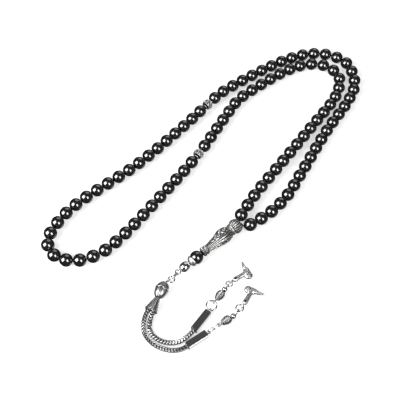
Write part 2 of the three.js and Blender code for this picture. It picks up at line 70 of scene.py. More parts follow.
# The strand's route and the tassel's places, as they are in the part.
PLACE = np.array([-0.4, -1.6, 0.0])
BEAD_RADIUS = 4.0
DIVIDER_RADIUS = 3.45
BORE_RADIUS = 0.85
CORD_RADIUS = 0.4
CORD_GAP = 0.15
SECTION_BEADS = 33
BEAD_COUNT = 3 * SECTION_BEADS + 2
DIVIDERS = (SECTION_BEADS, 2 * SECTION_BEADS + 1)
LOOP_ROUTE = (
    (18, -22.5), (27, -8), (49, 21.5), (71, 51), (80, 63), (86, 74.5), (87.5, 86), (81, 95),
    (68.5, 97.5), (54, 92.5), (30, 76), (18.5, 66), (9, 51), (-9.5, 20), (-34, -13),
    (-54, -38), (-65.5, -48.5), (-80, -53.5), (-92, -50.5), (-97.5, -41), (-92.5, -27.5),
    (-82.5, -15), (-47, 14), (-17, 45), (6.5, 71.5), (19, 81), (43, 96.5), (56, 103),
    (70, 107), (83.5, 105.5), (93.5, 99), (97.5, 87), (97, 77), (91.5, 65), (75.5, 41),
    (56, 7), (46.5, -9), (35.5, -21), (23, -29.5),
)
INNER_BRAID_ROUTE = (
    (-33, -85, 3.9), (-34.6, -88.8, 3.1), (-35.3, -92.6, 2.1), (-34.8, -96.2, 1.75),
    (-32.6, -99.5, 1.75), (-28.6, -102.2, 1.75), (-23.8, -103.3, 1.75), (-19.2, -102.7, 1.75),
    (-15.4, -100.6, 1.8), (-12.6, -98.1, 1.9), (-9.9, -95.1, 1.9),
)
OUTER_BRAID_ROUTE = (
    (-35.9, -83.7, 3.9), (-37.8, -87.8, 3.1), (-38.7, -92.3, 2.1), (-38.1, -97, 1.75),
    (-35.3, -101.4, 1.75), (-30.9, -105, 1.75), (-25.6, -107.1, 1.75), (-20.6, -107.6, 1.8),
    (-16.8, -106.7, 1.9), (-13.2, -104.6, 1.9),
)
HEAD_FROM = (14.3, -31, 4.95)
HEAD_TOWARDS = (-60.9, -97, 2.45)
CROWN_FROM = (-26.9, -67.6, 3.95)
CROWN_TOWARDS = (-31, -76.72, 3.95)
JUMP_RING_CENTRE = (-23.45, -65.34, 3.55)
CROWN_EYE_TOWARDS = (-26.4, -66.7, 3.8)
INNER_TUBE = ((-10.5, -95.9, 1.9), (-2.2, -84.8, 1.9))
OUTER_TUBE = ((-14, -105.1, 1.9), (-3.3, -97.9, 1.9))
INNER_RING_CENTRE = (-0.48, -81.18, 2.25)
INNER_BARREL_TOWARDS = (8.3, -69.9, 2.8)
INNER_TOP_RING_CENTRE = (9.9, -67.7, 2.5)
INNER_CHARM = ((11, -66.4, 2.4), (18.9, -61.1, 2))
OUTER_BARREL = ((3, -93.3, 2.5), (11.45, -87.96, 2.8))
OUTER_TOP_RING_CENTRE = (15.5, -82.7, 2.5)
OUTER_CHARM = ((18, -81.1, 2.4), (22.6, -72.4, 2))
WIRE_RADIUS = 0.4
LINK_WIRE = 0.36
LINK_PLAY = 0.1
HOOKED = 2 * WIRE_RADIUS + LINK_PLAY
DRAWN_WIRE = WIRE_RADIUS + 0.45 * LINK_PLAY
DRAWN_LINK_WIRE = LINK_WIRE + 0.45 * LINK_PLAY


# ---- Settings -----------------------------------------------------------------------------

def height_of(node):
    """The height of a node's box, in metres."""
    low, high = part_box(node)
    return high.z - low.z


class BeadSettings(bpy.types.PropertyGroup):
    """The black stone beads."""
    diameter: bpy.props.FloatProperty(
        name="Bead diameter", description="Across one black bead", unit="LENGTH",
        default=height_of("bead_first"), min=0.004, max=0.012)
    stone: bpy.props.FloatVectorProperty(
        name="Stone", description="Reflected colour of the polished stone",
        subtype="COLOR", default=(0.23, 0.225, 0.215), min=0, max=1)
    thread: bpy.props.FloatVectorProperty(
        name="Thread", description="Colour of the waxed thread",
        subtype="COLOR", default=(0.012, 0.012, 0.012), min=0, max=1)


class SilverSettings(bpy.types.PropertyGroup):
    """The silver pieces."""
    bright: bpy.props.FloatVectorProperty(
        name="Silver", description="Colour of clean silver",
        subtype="COLOR", default=(0.86, 0.86, 0.85), min=0, max=1)
    # The dark colour: oxidised recesses, and painted shade on the divider's liner and the cores of
    # the chains and barrels.
    oxide_and_shade: bpy.props.FloatVectorProperty(
        name="Oxide", description="Colour of the darkened recesses",
        subtype="COLOR", default=(0.022, 0.021, 0.02), min=0, max=1)
    weave_pitch: bpy.props.FloatProperty(
        name="Weave pitch", description="Length of chain that each pair of loops adds",
        unit="LENGTH", default=0.00165, min=0.001, max=0.002)


class StageSettings(bpy.types.PropertyGroup):
    """The table and the camera."""
    table: bpy.props.FloatVectorProperty(
        name="Table", description="Colour of the table", subtype="COLOR",
        default=(0.9, 0.9, 0.9), min=0, max=1)
    elevation: bpy.props.FloatProperty(
        name="Camera elevation", description="Height of the camera above the horizon",
        subtype="ANGLE", default=math.radians(58.6))
    distance: bpy.props.FloatProperty(
        name="Camera distance", description="From the camera to the middle of the beads",
        unit="LENGTH", default=0.466)
    lens: bpy.props.FloatProperty(
        name="Lens", description="Focal length", unit="CAMERA", default=68.4)


# ---- Lines --------------------------------------------------------------------------------

def array(*points):
    return np.array(points, float)


def unit(vector):
    return vector / np.linalg.norm(vector)


def smooth_line(points, count):
    """A centripetal Catmull-Rom line through points, as count + 1 samples."""
    p = np.array(points, float)
    p = np.vstack([2 * p[0] - p[1], p, 2 * p[-1] - p[-2]])
    samples = []
    for k in range(count + 1):
        t = (len(p) - 3) * k / count
        i = min(int(t), len(p) - 4)
        w = t - i
        a, b, c, d = p[i:i + 4]
        ab, bc, cd = (np.linalg.norm(v) ** 0.5 for v in (b - a, c - b, d - c))
        leave = ((b - a) / ab - (c - a) / (ab + bc) + (c - b) / bc) * bc
        arrive = ((c - b) / bc - (d - b) / (bc + cd) + (d - c) / cd) * bc
        samples.append(b + leave * w + (3 * c - 3 * b - 2 * leave - arrive) * w ** 2
                       + (2 * b - 2 * c + leave + arrive) * w ** 3)
    return np.array(samples)


def stations_of(line):
    return np.concatenate([[0], np.cumsum(np.linalg.norm(np.diff(line, axis=0), axis=1))])


def respaced(line, step):
    """The line again, with its points about step apart."""
    along = stations_of(line)
    wanted = np.linspace(0, along[-1], max(2, round(along[-1] / step) + 1))
    return np.stack([np.interp(wanted, along, line[:, n]) for n in range(3)], axis=1)


def lying(start, towards):
    """A frame at start whose +Y runs towards a point, with +Z as upright as it goes."""
    start, towards = np.array(start, float), np.array(towards, float)
    ahead = unit(towards - start)
    side = unit(np.cross(ahead, UP))
    frame_at = np.eye(4)
    frame_at[:3, 0], frame_at[:3, 1] = side, ahead
    frame_at[:3, 2], frame_at[:3, 3] = np.cross(side, ahead), start
    return frame_at


def placed(points, place):
    return np.asarray(points, float) @ place[:3, :3].T + place[:3, 3]


# ---- Where the beads are ------------------------------------------------------------------

def radius_of(k):
    return DIVIDER_RADIUS if k in DIVIDERS else BEAD_RADIUS


def step_beads(route, gap):
    """Bead centres stepped along the route, each pair a fixed gap apart, as many as fit."""
    centres, i = [route[0]], 0
    while len(centres) < BEAD_COUNT:
        reach = radius_of(len(centres) - 1) + radius_of(len(centres)) + gap
        last = centres[-1]
        while i < len(route) - 1 and np.linalg.norm(route[i] - last) < reach:
            i += 1
        if i == len(route) - 1:
            break
        before, after = route[i - 1], route[i]
        near, far = np.linalg.norm(before - last), np.linalg.norm(after - last)
        centres.append(before + (after - before) * (reach - near) / (far - near))
    return centres


def spaced_beads():
    """Bead centres, with the spare cord shared equally between them."""
    route = smooth_line([(x, y, BEAD_RADIUS) for x, y in LOOP_ROUTE], 40 * len(LOOP_ROUTE))
    low, high = 0.0, 1.0
    for _ in range(40):
        gap = (low + high) / 2
        if len(step_beads(route, gap)) == BEAD_COUNT:
            low = gap
        else:
            high = gap
    return np.array(step_beads(route, low)) + PLACE


CENTRES = spaced_beads()
HEADINGS = np.array([
    unit(CENTRES[min(k + 1, BEAD_COUNT - 1)] - CENTRES[max(k - 1, 0)])
    for k in range(BEAD_COUNT)])


def meeting(k):
    """Where the cord passes from bead k - 1 into bead k."""
    if k == 0:
        return CENTRES[0] - BEAD_RADIUS * HEADINGS[0]
    if k == BEAD_COUNT:
        return CENTRES[-1] + BEAD_RADIUS * HEADINGS[-1]
    half = np.linalg.norm(CENTRES[k] - CENTRES[k - 1]) / (1 + HEADINGS[k - 1] @ HEADINGS[k])
    return (CENTRES[k - 1] + CENTRES[k] + half * (HEADINGS[k - 1] - HEADINGS[k])) / 2


MEETINGS = np.array([meeting(k) for k in range(BEAD_COUNT + 1)])

# ---- Where the tassel's pieces are --------------------------------------------------------

HEAD = lying(PLACE + HEAD_FROM, PLACE + HEAD_TOWARDS)
CROWN = lying(PLACE + CROWN_FROM, PLACE + CROWN_TOWARDS)
EYE_STATION = 45.4
EYE_RADIUS = 1.45
EYE_WIRE = 0.45
JUMP_RING_RADIUS = 1.8
BARREL_EYE = 0.9
BARREL_LENGTH = 6.4
BALL_RADIUS = 1.6
INNER_COIL_START = 1.5
INNER_END_EYE = 12.3
OUTER_COIL_START = 2.3
OUTER_TOP_RING_RADIUS = 2.1
OUTER_EYE_STRETCH = 1.1
OVAL_LINK_RADIUS = 1.05
SMALL_LINK_RADIUS = 0.95
BALL_GAP = 0.1
BALL_BORE = 0.62
TUBE_WIDTH = 4.2
TUBE_HEIGHT = 3.8
EYELET_REACH = 1.1


def beyond(start, towards, reach):
    return start + unit(towards - start) * reach


def ball_station(coil_start):
    """Where the ball's centre is along a barrel's wire."""
    return coil_start + BARREL_LENGTH + BALL_GAP + BALL_RADIUS


def tassel_places():
    """The frames of the linked pieces, each worked out from the one it hooks."""
    at = {}
    eye = placed(array([0, EYE_STATION, 0]), HEAD)[0]
    ring = PLACE + JUMP_RING_CENTRE
    link = beyond(eye, ring, EYE_RADIUS - EYE_WIRE - WIRE_RADIUS - LINK_PLAY)
    ring_edge = beyond(ring, eye, JUMP_RING_RADIUS)
    at["oval_link"] = lying(link, ring)
    at["oval_link_length"] = np.linalg.norm(ring_edge - link) + HOOKED
    at["jump_ring"] = lying(ring_edge, ring)
    at["crown_eye_hook"] = beyond(ring, PLACE + CROWN_EYE_TOWARDS, JUMP_RING_RADIUS - HOOKED)
    at["crown_eye_end"] = beyond(ring, PLACE + CROWN_EYE_TOWARDS, JUMP_RING_RADIUS)

    inner, outer = (array(*tube) + PLACE for tube in (INNER_TUBE, OUTER_TUBE))
    at["tube_inner"], at["tube_outer"] = lying(*inner), lying(*outer)
    inner_eyelet = beyond(inner[1], 2 * inner[1] - inner[0], EYELET_REACH)
    outer_eyelet = beyond(outer[1], 2 * outer[1] - outer[0], EYELET_REACH)

    ring = PLACE + INNER_RING_CENTRE
    towards = PLACE + INNER_BARREL_TOWARDS
    at["ring_inner"] = lying(inner_eyelet, ring)
    at["ring_inner_radius"] = np.linalg.norm(ring - inner_eyelet)
    barrel = beyond(ring, towards, at["ring_inner_radius"])
    at["barrel_inner"] = lying(barrel, towards)
    hook = beyond(barrel, towards, INNER_END_EYE)
    top = PLACE + INNER_TOP_RING_CENTRE
    at["top_ring_inner"] = lying(hook, top)
    at["top_ring_inner_radius"] = np.linalg.norm(top - hook)
    charm = array(*INNER_CHARM) + PLACE
    at["charm_inner"] = lying(beyond(top, charm[0], at["top_ring_inner_radius"]), charm[1])

    barrel = array(*OUTER_BARREL) + PLACE
    small_hook = 2 * LINK_WIRE + LINK_PLAY
    length = (np.linalg.norm(barrel[0] - outer_eyelet) + 2 * small_hook) / 2
    at["small_link_stretch"] = length - 2 * SMALL_LINK_RADIUS
    at["link_flat_outer"] = lying(outer_eyelet, barrel[0])
    at["link_upright_outer"] = lying(beyond(outer_eyelet, barrel[0], length - small_hook), barrel[0])
    at["barrel_outer"] = lying(*barrel)
    ball = ball_station(OUTER_COIL_START)
    ball_end = placed(array([0, ball + BALL_RADIUS + 0.25, 0]), at["barrel_outer"])[0]
    top = PLACE + OUTER_TOP_RING_CENTRE
    hook = beyond(top, ball_end, OUTER_TOP_RING_RADIUS)
    heading = unit(top - ball_end)
    at["outer_neck_from"] = placed(array([0, ball + BALL_RADIUS, 0]), at["barrel_outer"])[0]
    at["outer_eye"] = lying(hook + heading * (HOOKED - 2 * BARREL_EYE - OUTER_EYE_STRETCH), top)
    at["top_ring_outer"] = lying(hook, top)
    charm = array(*OUTER_CHARM) + PLACE
    at["charm_outer"] = lying(beyond(top, charm[0], OUTER_TOP_RING_RADIUS), charm[1])
    return at


AT = tassel_places()


# ---- Forms --------------------------------------------------------------------------------

class Form:
    """Closed shells that are gathered into one mesh, each point with its depth of recess."""

    def __init__(self):
        self.points, self.faces, self.recess, self.count = [], [], [], 0

    def add(self, points, faces, recess=0.0, place=None):
        points = np.asarray(points, float).reshape(-1, 3)
        if place is not None:
            points = placed(points, place)
        self.faces += [tuple(i + self.count for i in face) for face in faces]
        self.points.append(points)
        self.recess.append(np.broadcast_to(np.ravel(recess), (len(points),)))
        self.count += len(points)
        return self


def skin(rows, closed_along=False):
    """The faces over a grid of points whose rows are closed rings."""
    count, around = rows.shape[:2]
    faces = []
    for i in range(count if closed_along else count - 1):
        a, b = i * around, (i + 1) % count * around
        faces += [(a + j, a + (j + 1) % around, b + (j + 1) % around, b + j)
                  for j in range(around)]
    if not closed_along:
        faces.append(tuple(range(around))[::-1])
        faces.append(tuple((count - 1) * around + j for j in range(around)))
    return faces


def sweep(form, line, radius, sides=10, closed=False, recess=0.0, lobes=0, twist=0.0,
          place=None):
    """A round wire along a line; lobes and twist make it a laid thread."""
    line = np.asarray(line, float)
    count = len(line)
    ahead = np.roll(line, -1, 0) - np.roll(line, 1, 0)
    if not closed:
        ahead[0], ahead[-1] = line[1] - line[0], line[-1] - line[-2]
    ahead /= np.linalg.norm(ahead, axis=1)[:, None]
    start = UP if abs(ahead[0] @ UP) < 0.9 else array(1, 0, 0)
    side = unit(np.cross(ahead[0], start))
    radii = np.broadcast_to(radius, (count,))
    along = stations_of(line)
    angles = np.arange(sides) * TURN / sides
    rows = np.zeros((count, sides, 3))
    for i in range(count):
        side = unit(side - (side @ ahead[i]) * ahead[i])
        over = np.cross(side, ahead[i])
        r = radii[i] * (1 + 0.16 * np.cos(lobes * angles + twist * along[i]) * (lobes > 0))
        rows[i] = line[i] + np.outer(r * np.cos(angles), side) + np.outer(r * np.sin(angles), over)
    return form.add(rows, skin(rows, closed), recess, place)


def turned_rows(profile, sides):
    angles = np.arange(sides) * TURN / sides
    radius, station = np.array(profile, float).T
    return np.stack([np.outer(radius, np.cos(angles)),
                     np.repeat(station[:, None], sides, axis=1),
                     np.outer(radius, np.sin(angles))], axis=2)


def turned(form, profile, sides=40, recess=0.0, place=None):
    """A turned ring from a profile of (radius, station) that closes on itself."""
    rows = turned_rows(profile, sides)
    return form.add(rows, skin(rows, True), recess, place)


def drilled_ball(form, radius, bore, sides=32, steps=16, stretch=1.0, station=0.0, place=None):
    """A ball drilled along +Y, with softened lips to its bore."""
    lip = 0.12
    mouth = math.asin((bore + lip) / radius)
    angles = np.linspace(mouth, math.pi - mouth, steps)
    arc = [(radius * math.sin(a), -radius * math.cos(a)) for a in angles]
    face = arc[0][1] + 0.35 * lip
    profile = [(bore, face + lip), (bore + 0.4 * lip, face), *arc,
               (bore + 0.4 * lip, -face), (bore, -face - lip)]
    return turned(form, [(r, station + stretch * y) for r, y in profile], sides, place=place)


def ball(form, centre, radii, sides=10, recess=0.0, place=None):
    """A plain small ball or ellipsoid, such as a granule."""
    steps = max(4, sides // 2)
    profile = [(math.sin(math.pi * k / steps), -math.cos(math.pi * k / steps))
               for k in range(1, steps)]
    rows = turned_rows(profile, sides) * np.broadcast_to(radii, (3,)) + np.asarray(centre)
    return form.add(rows, skin(rows), recess, place)


def local_recess(height, reach=7, contrast=0.16):
    """How far each point of a relief lies below the points around it, from 0 to 1."""
    level = height
    for axis, mode in ((0, "edge"), (1, "wrap")):
        widths = [(0, 0), (0, 0)]
        widths[axis] = (reach, reach)
        padded = np.pad(level, widths, mode=mode)
        total = sum(np.roll(padded, shift, axis) for shift in range(-reach, reach + 1))
        level = total.take(range(reach, reach + height.shape[axis]), axis) / (2 * reach + 1)
    return np.clip(0.3 + (level - height) / contrast, 0, 1)


def relief_turned(form, outline, bore, relief, around, along, place):
    """A drilled turned piece whose outside carries a relief(angle, station, radius)."""
    outside = smooth_line([(r, s, 0) for r, s in outline], along)[:, :2]
    radius, station = outside.T
    angle = np.arange(around) * TURN / around
    height = relief(angle[None, :], station[:, None], radius[:, None])
    height = np.broadcast_to(height, (len(station), around)).copy()
    depth = local_recess(height)
    r = radius[:, None] + height
    rows = np.zeros((len(station) + 2, around, 3))
    rows[1:-1, :, 0], rows[1:-1, :, 2] = r * np.cos(angle), r * np.sin(angle)
    rows[1:-1, :, 1] = station[:, None]
    for row, end in ((0, station[0]), (-1, station[-1])):
        rows[row, :, 0], rows[row, :, 2] = bore * np.cos(angle), bore * np.sin(angle)
        rows[row, :, 1] = end
    recess = np.vstack([np.ones(around), depth, np.ones(around)])
    return form.add(rows, skin(rows, True), recess, place)


def loop_line(radius, stretch=0.0, upright=False, count=40):
    """A ring's wire line that hooks its neighbour at the origin and reaches along +Y."""
    angle = np.arange(count) * TURN / count
    line = np.zeros((count, 3))
    line[:, 2 if upright else 0] = radius * np.cos(angle)
    line[:, 1] = radius * np.sin(angle) + radius
    line[:, 1] += np.where(np.sin(angle) > 1e-3, stretch, 0)
    return line


def loop(form, radius, wire=DRAWN_WIRE, stretch=0.0, upright=False, place=None, shift=0.0):
    line = loop_line(radius, stretch, upright) + array(0, shift, 0)
    return sweep(form, line, wire, 12, closed=True, place=place)


def bump(x, width):
    return np.exp(-(x / width) ** 2)


def wrapped(angle, parts, offset=0.0):
    """The angle from the middle of the nearest of so many equal parts of a turn."""
    span = TURN / parts
    return (angle - offset + span / 2) % span - span / 2


# ---- Finishes -----------------------------------------------------------------------------

def new_group(name, inputs, outputs):
    group = bpy.data.node_groups.new(name, "ShaderNodeTree")
    for label, default in inputs:
        socket = group.interface.new_socket(label, in_out="INPUT", socket_type="NodeSocketFloat")
        socket.default_value = default
    for label in outputs:
        group.interface.new_socket(label, in_out="OUTPUT", socket_type="NodeSocketFloat")
    return group, group.nodes.new("NodeGroupInput"), group.nodes.new("NodeGroupOutput")


def math_node(tree, operation, first, second=None, clamp=False):
    node = tree.nodes.new("ShaderNodeMath")
    node.operation = operation
    node.use_clamp = clamp
    for socket, value in zip(node.inputs, (first, second)):
        if value is None:
            continue
        if isinstance(value, (int, float)):
            socket.default_value = value
        else:
            tree.links.new(value, socket)
    return node.outputs[0]


def noise_node(tree, scale, detail=3.0, stretch=(1, 1, 1)):
    where = tree.nodes.new("ShaderNodeTexCoord")
    mapping = tree.nodes.new("ShaderNodeMapping")
    mapping.inputs["Scale"].default_value = stretch
    noise = tree.nodes.new("ShaderNodeTexNoise")
    noise.inputs["Detail"].default_value = detail
    tree.links.new(where.outputs["Object"], mapping.inputs["Vector"])
    tree.links.new(mapping.outputs["Vector"], noise.inputs["Vector"])
    if isinstance(scale, (int, float)):
        noise.inputs["Scale"].default_value = scale
    else:
        tree.links.new(scale, noise.inputs["Scale"])
    return noise.outputs["Fac"]


def handling_group():
    """Fine rubbing marks and dull patches from handling."""
    group, given, out = new_group(
        "Handling Marks", [("Scale", 900.0), ("Low", 0.05), ("High", 0.12)],
        ["Roughness", "Height"])
    patches = noise_node(group, given.outputs["Scale"])
    marks = noise_node(group, 2600.0, 2.0, (1, 0.15, 1))
    mixed = math_node(group, "MULTIPLY_ADD", marks, 0.45)
    group.links.new(patches, mixed.node.inputs[2])
    spread = math_node(group, "SUBTRACT", given.outputs["High"], given.outputs["Low"])
    rough = math_node(group, "MULTIPLY_ADD", mixed, spread)
    group.links.new(given.outputs["Low"], rough.node.inputs[2])
    group.links.new(rough, out.inputs["Roughness"])
    group.links.new(marks, out.inputs["Height"])
    return group


def oxide_and_shade_group():
    """How dark the silver is: its recesses are oxidised, and the high places are rubbed clean. Where
    a hidden liner or core is given full recess, the same darkness is painted shade.
    """
    group, given, out = new_group(
        "Silver Oxide and Shade", [("Amount", 1.0), ("Start", 0.45), ("Softness", 0.3)], ["Mask"])
    recess = group.nodes.new("ShaderNodeAttribute")
    recess.attribute_name = "recess"
    grain = noise_node(group, 1500.0, 4.0)
    uneven = math_node(group, "MULTIPLY_ADD", grain, 0.5)
    group.links.new(recess.outputs["Fac"], uneven.node.inputs[2])
    past = math_node(group, "SUBTRACT", uneven, 0.25)
    past = math_node(group, "SUBTRACT", past, given.outputs["Start"])
    mask = math_node(group, "DIVIDE", past, given.outputs["Softness"], clamp=True)
    mask = math_node(group, "MULTIPLY", mask, given.outputs["Amount"], clamp=True)
    group.links.new(mask, out.inputs["Mask"])
    return group


def group_node(tree, name, maker, **values):
    node = tree.nodes.new("ShaderNodeGroup")
    node.node_tree = bpy.data.node_groups.get(name) or maker()
    for label, value in values.items():
        node.inputs[label].default_value = value
    return node


def fresh_material(name):
    material = bpy.data.materials.new(name)
    material.use_nodes = True
    tree = material.node_tree
    return material, tree, tree.nodes["Principled BSDF"]


def mixed_colour(tree, fac, first, second):
    mix = tree.nodes.new("ShaderNodeMix")
    mix.data_type = "RGBA"
    mix.inputs["A"].default_value = (*first, 1)
    mix.inputs["B"].default_value = (*second, 1)
    tree.links.new(fac, mix.inputs["Factor"])
    return next(s for s in mix.outputs if s.type == "RGBA")


def bumped(tree, shader, height, strength, distance):
    bump_node = tree.nodes.new("ShaderNodeBump")
    bump_node.inputs["Strength"].default_value = strength
    bump_node.inputs["Distance"].default_value = distance
    tree.links.new(height, bump_node.inputs["Height"])
    tree.links.new(bump_node.outputs["Normal"], shader.inputs["Normal"])


def stone_finish():
    """Polished black stone with a metal lustre and a faint warm and blue play."""
    name = "Polished black stone"
    if name in bpy.data.materials:
        return bpy.data.materials[name]
    material, tree, shader = fresh_material(name)
    stone = bpy.context.scene.bead_settings.stone
    warm = [c * f for c, f in zip(stone, (1.12, 1.0, 0.9))]
    cool = [c * f for c, f in zip(stone, (0.86, 0.97, 1.2))]
    cloud = noise_node(tree, 420.0, 2.0)
    tree.links.new(mixed_colour(tree, cloud, warm, cool), shader.inputs["Base Color"])
    marks = group_node(tree, "Handling Marks", handling_group, Scale=700.0, Low=0.02, High=0.09)
    tree.links.new(marks.outputs["Roughness"], shader.inputs["Roughness"])
    bumped(tree, shader, marks.outputs["Height"], 0.05, 0.00002)
    shader.inputs["Metallic"].default_value = 1.0
    shader.inputs["Specular Tint"].default_value = (0.35, 0.35, 0.37, 1)
    return material


def silver_finish(name, tone, low, high, start, softness, amount=1.0):
    """Silver oxidised in its recesses, from low to high roughness; tone scales its colour. A hidden
    liner or core given full recess takes the dark colour as painted shade.
    """
    if name in bpy.data.materials:
        return bpy.data.materials[name]
    material, tree, shader = fresh_material(name)
    silver = bpy.context.scene.silver_settings
    oxide_and_shade = group_node(tree, "Silver Oxide and Shade", oxide_and_shade_group,
                       Start=start, Softness=softness, Amount=amount)
    clean = [tone * c for c in silver.bright]
    # Mixes in the dark colour by the mask: oxidised recesses, and painted shade where a hidden liner
    # or core has full recess.
    colour = mixed_colour(tree, oxide_and_shade.outputs["Mask"], clean, silver.oxide_and_shade)
    tree.links.new(colour, shader.inputs["Base Color"])
    marks = group_node(tree, "Handling Marks", handling_group, Scale=1100.0, Low=low, High=high)
    dull = math_node(tree, "MULTIPLY_ADD", oxide_and_shade.outputs["Mask"], 0.3)
    tree.links.new(marks.outputs["Roughness"], dull.node.inputs[2])
    tree.links.new(dull, shader.inputs["Roughness"])
    metal = math_node(tree, "MULTIPLY_ADD", oxide_and_shade.outputs["Mask"], -0.5)
    metal.node.inputs[2].default_value = 1.0
    tree.links.new(metal, shader.inputs["Metallic"])
    bumped(tree, shader, marks.outputs["Height"], 0.12, 0.00004)
    return material


def cast_silver():
    return silver_finish("Oxidised cast silver", tone=0.72, low=0.24, high=0.38, start=0.3,
                         softness=0.35)


def satin_silver():
    return silver_finish("Satin silver", tone=1.06, low=0.3, high=0.42, start=0.3, softness=0.35)


def polished_silver():
    return silver_finish("Polished silver", tone=1.0, low=0.05, high=0.13, start=0.6, softness=0.3,
                         amount=0.6)


def woven_silver():
    return silver_finish("Woven silver wire", tone=0.85, low=0.24, high=0.36, start=0.42,
                         softness=0.3)


def thread_finish():
    """Black waxed thread, with the sheen of its laid plies."""
    name = "Waxed thread"
    if name in bpy.data.materials:
        return bpy.data.materials[name]
    material, tree, shader = fresh_material(name)
    colour = bpy.context.scene.bead_settings.thread
    fibre = noise_node(tree, 3000.0, 4.0)
    light = [2.5 * c for c in colour]
    tree.links.new(mixed_colour(tree, fibre, colour, light), shader.inputs["Base Color"])
    shader.inputs["Roughness"].default_value = 0.55
    bumped(tree, shader, fibre, 0.4, 0.00005)
    return material


# ---- Making a piece -----------------------------------------------------------------------

SHARP_ANGLE = math.radians(38)


def finish_mesh(mesh, recess):
    shell = bmesh.new()
    shell.from_mesh(mesh)
    bmesh.ops.recalc_face_normals(shell, faces=shell.faces)
    shell.to_mesh(mesh)
    shell.free()
    depth = mesh.attributes.new("recess", "FLOAT", "POINT")
    depth.data.foreach_set("value", recess.astype(np.float32))
    mesh.polygons.foreach_set("use_smooth", [True] * len(mesh.polygons))
    mesh.set_sharp_from_angle(angle=SHARP_ANGLE)


def linked_object(name, mesh, finish):
    piece = bpy.data.objects.new(name, mesh)
    bpy.context.scene.collection.objects.link(piece)
    mesh.materials.append(finish)
    return piece


def make_piece(name, form, finish, body, node):
    """A mesh from a form in millimetres, riding on a body in place of its node."""
    mesh = bpy.data.meshes.new(name)
    mesh.from_pydata((np.vstack(form.points) * MM).tolist(), [], form.faces)
    finish_mesh(mesh, np.concatenate(form.recess))
    piece = linked_object(name, mesh, finish)
    if body:
        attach(piece, body)
    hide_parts(node)
    return piece


# ---- Beads, dividers and thread -----------------------------------------------------------

BEAD_RUNS = {
    "strand_imame": ((1, 7), (92, 99)),
    "strand_right": ((8, 15), (16, 22), (74, 79), (80, 85), (86, 91)),
    "strand_top": ((23, 27), (28, 32), (34, 36), (59, 62), (63, 66), (68, 73)),
    "strand_left": ((37, 41), (54, 58)),
    "strand_far": ((42, 45), (46, 49), (50, 53)),
}
THREADS = {
    "imame_inner": (0, 8), "right_inner": (8, 23), "top_inner": (23, 37),
    "left_inner": (37, 42), "far_turn": (42, 54), "left_outer": (54, 59),
    "top_outer": (59, 74), "right_outer": (74, 92), "imame_outer": (92, BEAD_COUNT),
}
THREAD_STEP = 0.5
THREAD_TWIST = 2.6
THREAD_RADIUS = 0.92 * CORD_RADIUS
# The share of a bead's radius, out from the bead towards the knob's mouth, at which a point on the
# leading-in thread is found.
BEND_START = 0.9
KNOB_MOUTH = 3.9
KNOT_STATION = 19
END_BEAD_STATION = 31.05
PIN_BORE = 0.8


def bead_place(k):
    return lying(CENTRES[k], CENTRES[k] + HEADINGS[k])


def make_beads(bead_radius):
    for body, runs in BEAD_RUNS.items():
        for first, last in runs:
            form = Form()
            for k in range(first, last + 1):
                drilled_ball(form, bead_radius, BORE_RADIUS, place=bead_place(k))
            make_piece(f"bead_run_{first:03d}_{last:03d}", form, stone_finish(), body,
                       f"beads_{first:03d}_{last:03d}")
    for name, k in (("bead_first", 0), ("bead_last", BEAD_COUNT - 1)):
        form = drilled_ball(Form(), bead_radius, BORE_RADIUS, place=bead_place(k))
        make_piece(f"stone_{name}", form, stone_finish(), name, name)
    form = drilled_ball(Form(), bead_radius, PIN_BORE, station=END_BEAD_STATION, place=HEAD)
    make_piece("stone_end_bead", form, stone_finish(), "end_bead", "end_bead")


def rolled(angle):
    """A turn about +Y."""
    return np.array([[math.cos(angle), 0, math.sin(angle)], [0, 1, 0],
                     [-math.sin(angle), 0, math.cos(angle)]])


def divider_form(place):
    """An openwork ball: coiled-wire rosettes between two collars, over a liner painted dark as
    shade.
    """
    form = Form()
    radius = DIVIDER_RADIUS - 0.32
    wire = 0.26
    liner = BORE_RADIUS + 1.3
    length = 2.1
    # Painted shade: the liner has full recess, so it shows near-black through the openwork where the
    # ball's hollow inside would be in shade.
    turned(form, [(BORE_RADIUS, -length), (liner, -length), (liner, length),
                  (BORE_RADIUS, length)], 24, 1.0, place)
    for side in (-1, 1):
        for latitude in (0.5, 1.05):
            line = loop_line(radius * math.sin(latitude), count=32)
            line[:, 1] -= radius * math.sin(latitude)
            ring = line[:, [0, 2, 1]]
            ring[:, 1] = side * radius * math.cos(latitude)
            sweep(form, ring, wire, 8, True, place=place)
    for k in range(8):
        turn = rolled(TURN * k / 8)
        angle = np.arange(20) * TURN / 20
        rosette = np.stack([np.full(20, radius), 1.15 * np.sin(angle), 1.1 * np.cos(angle)], 1)
        rosette = rosette / np.linalg.norm(rosette, axis=1)[:, None] * radius
        sweep(form, rosette @ turn.T, wire, 8, True, place=place)
        ball(form, array(radius + 0.05, 0, 0) @ turn.T, 0.42, 10, place=place)
        for side in (-1, 1):
            spot = array(radius * 0.84, side * radius * 0.54, 0)
            ball(form, spot @ rolled(TURN / 16).T @ turn.T, 0.34, 8, place=place)
    return form


def make_dividers():
    for number, k in enumerate(DIVIDERS, 1):
        make_piece(f"openwork_divider_{number}", divider_form(bead_place(k)), satin_silver(),
                   f"divider_{number}", f"divider_{number}")


def thread_line(first, last, name):
    line = MEETINGS[first:last + 1].copy()
    side = HEAD[:3, 0] * 1.25 * CORD_RADIUS
    mouth = HEAD[:3, 3] - KNOB_MOUTH * HEAD[:3, 1]
    if name == "imame_inner":
        line = np.vstack([mouth + side, line])
    if name == "imame_outer":
        line = np.vstack([line, mouth - side])
    line[0] = beyond(line[0], line[1], CORD_GAP)
    line[-1] = beyond(line[-1], line[-2], CORD_GAP)
    return respaced(line, THREAD_STEP)


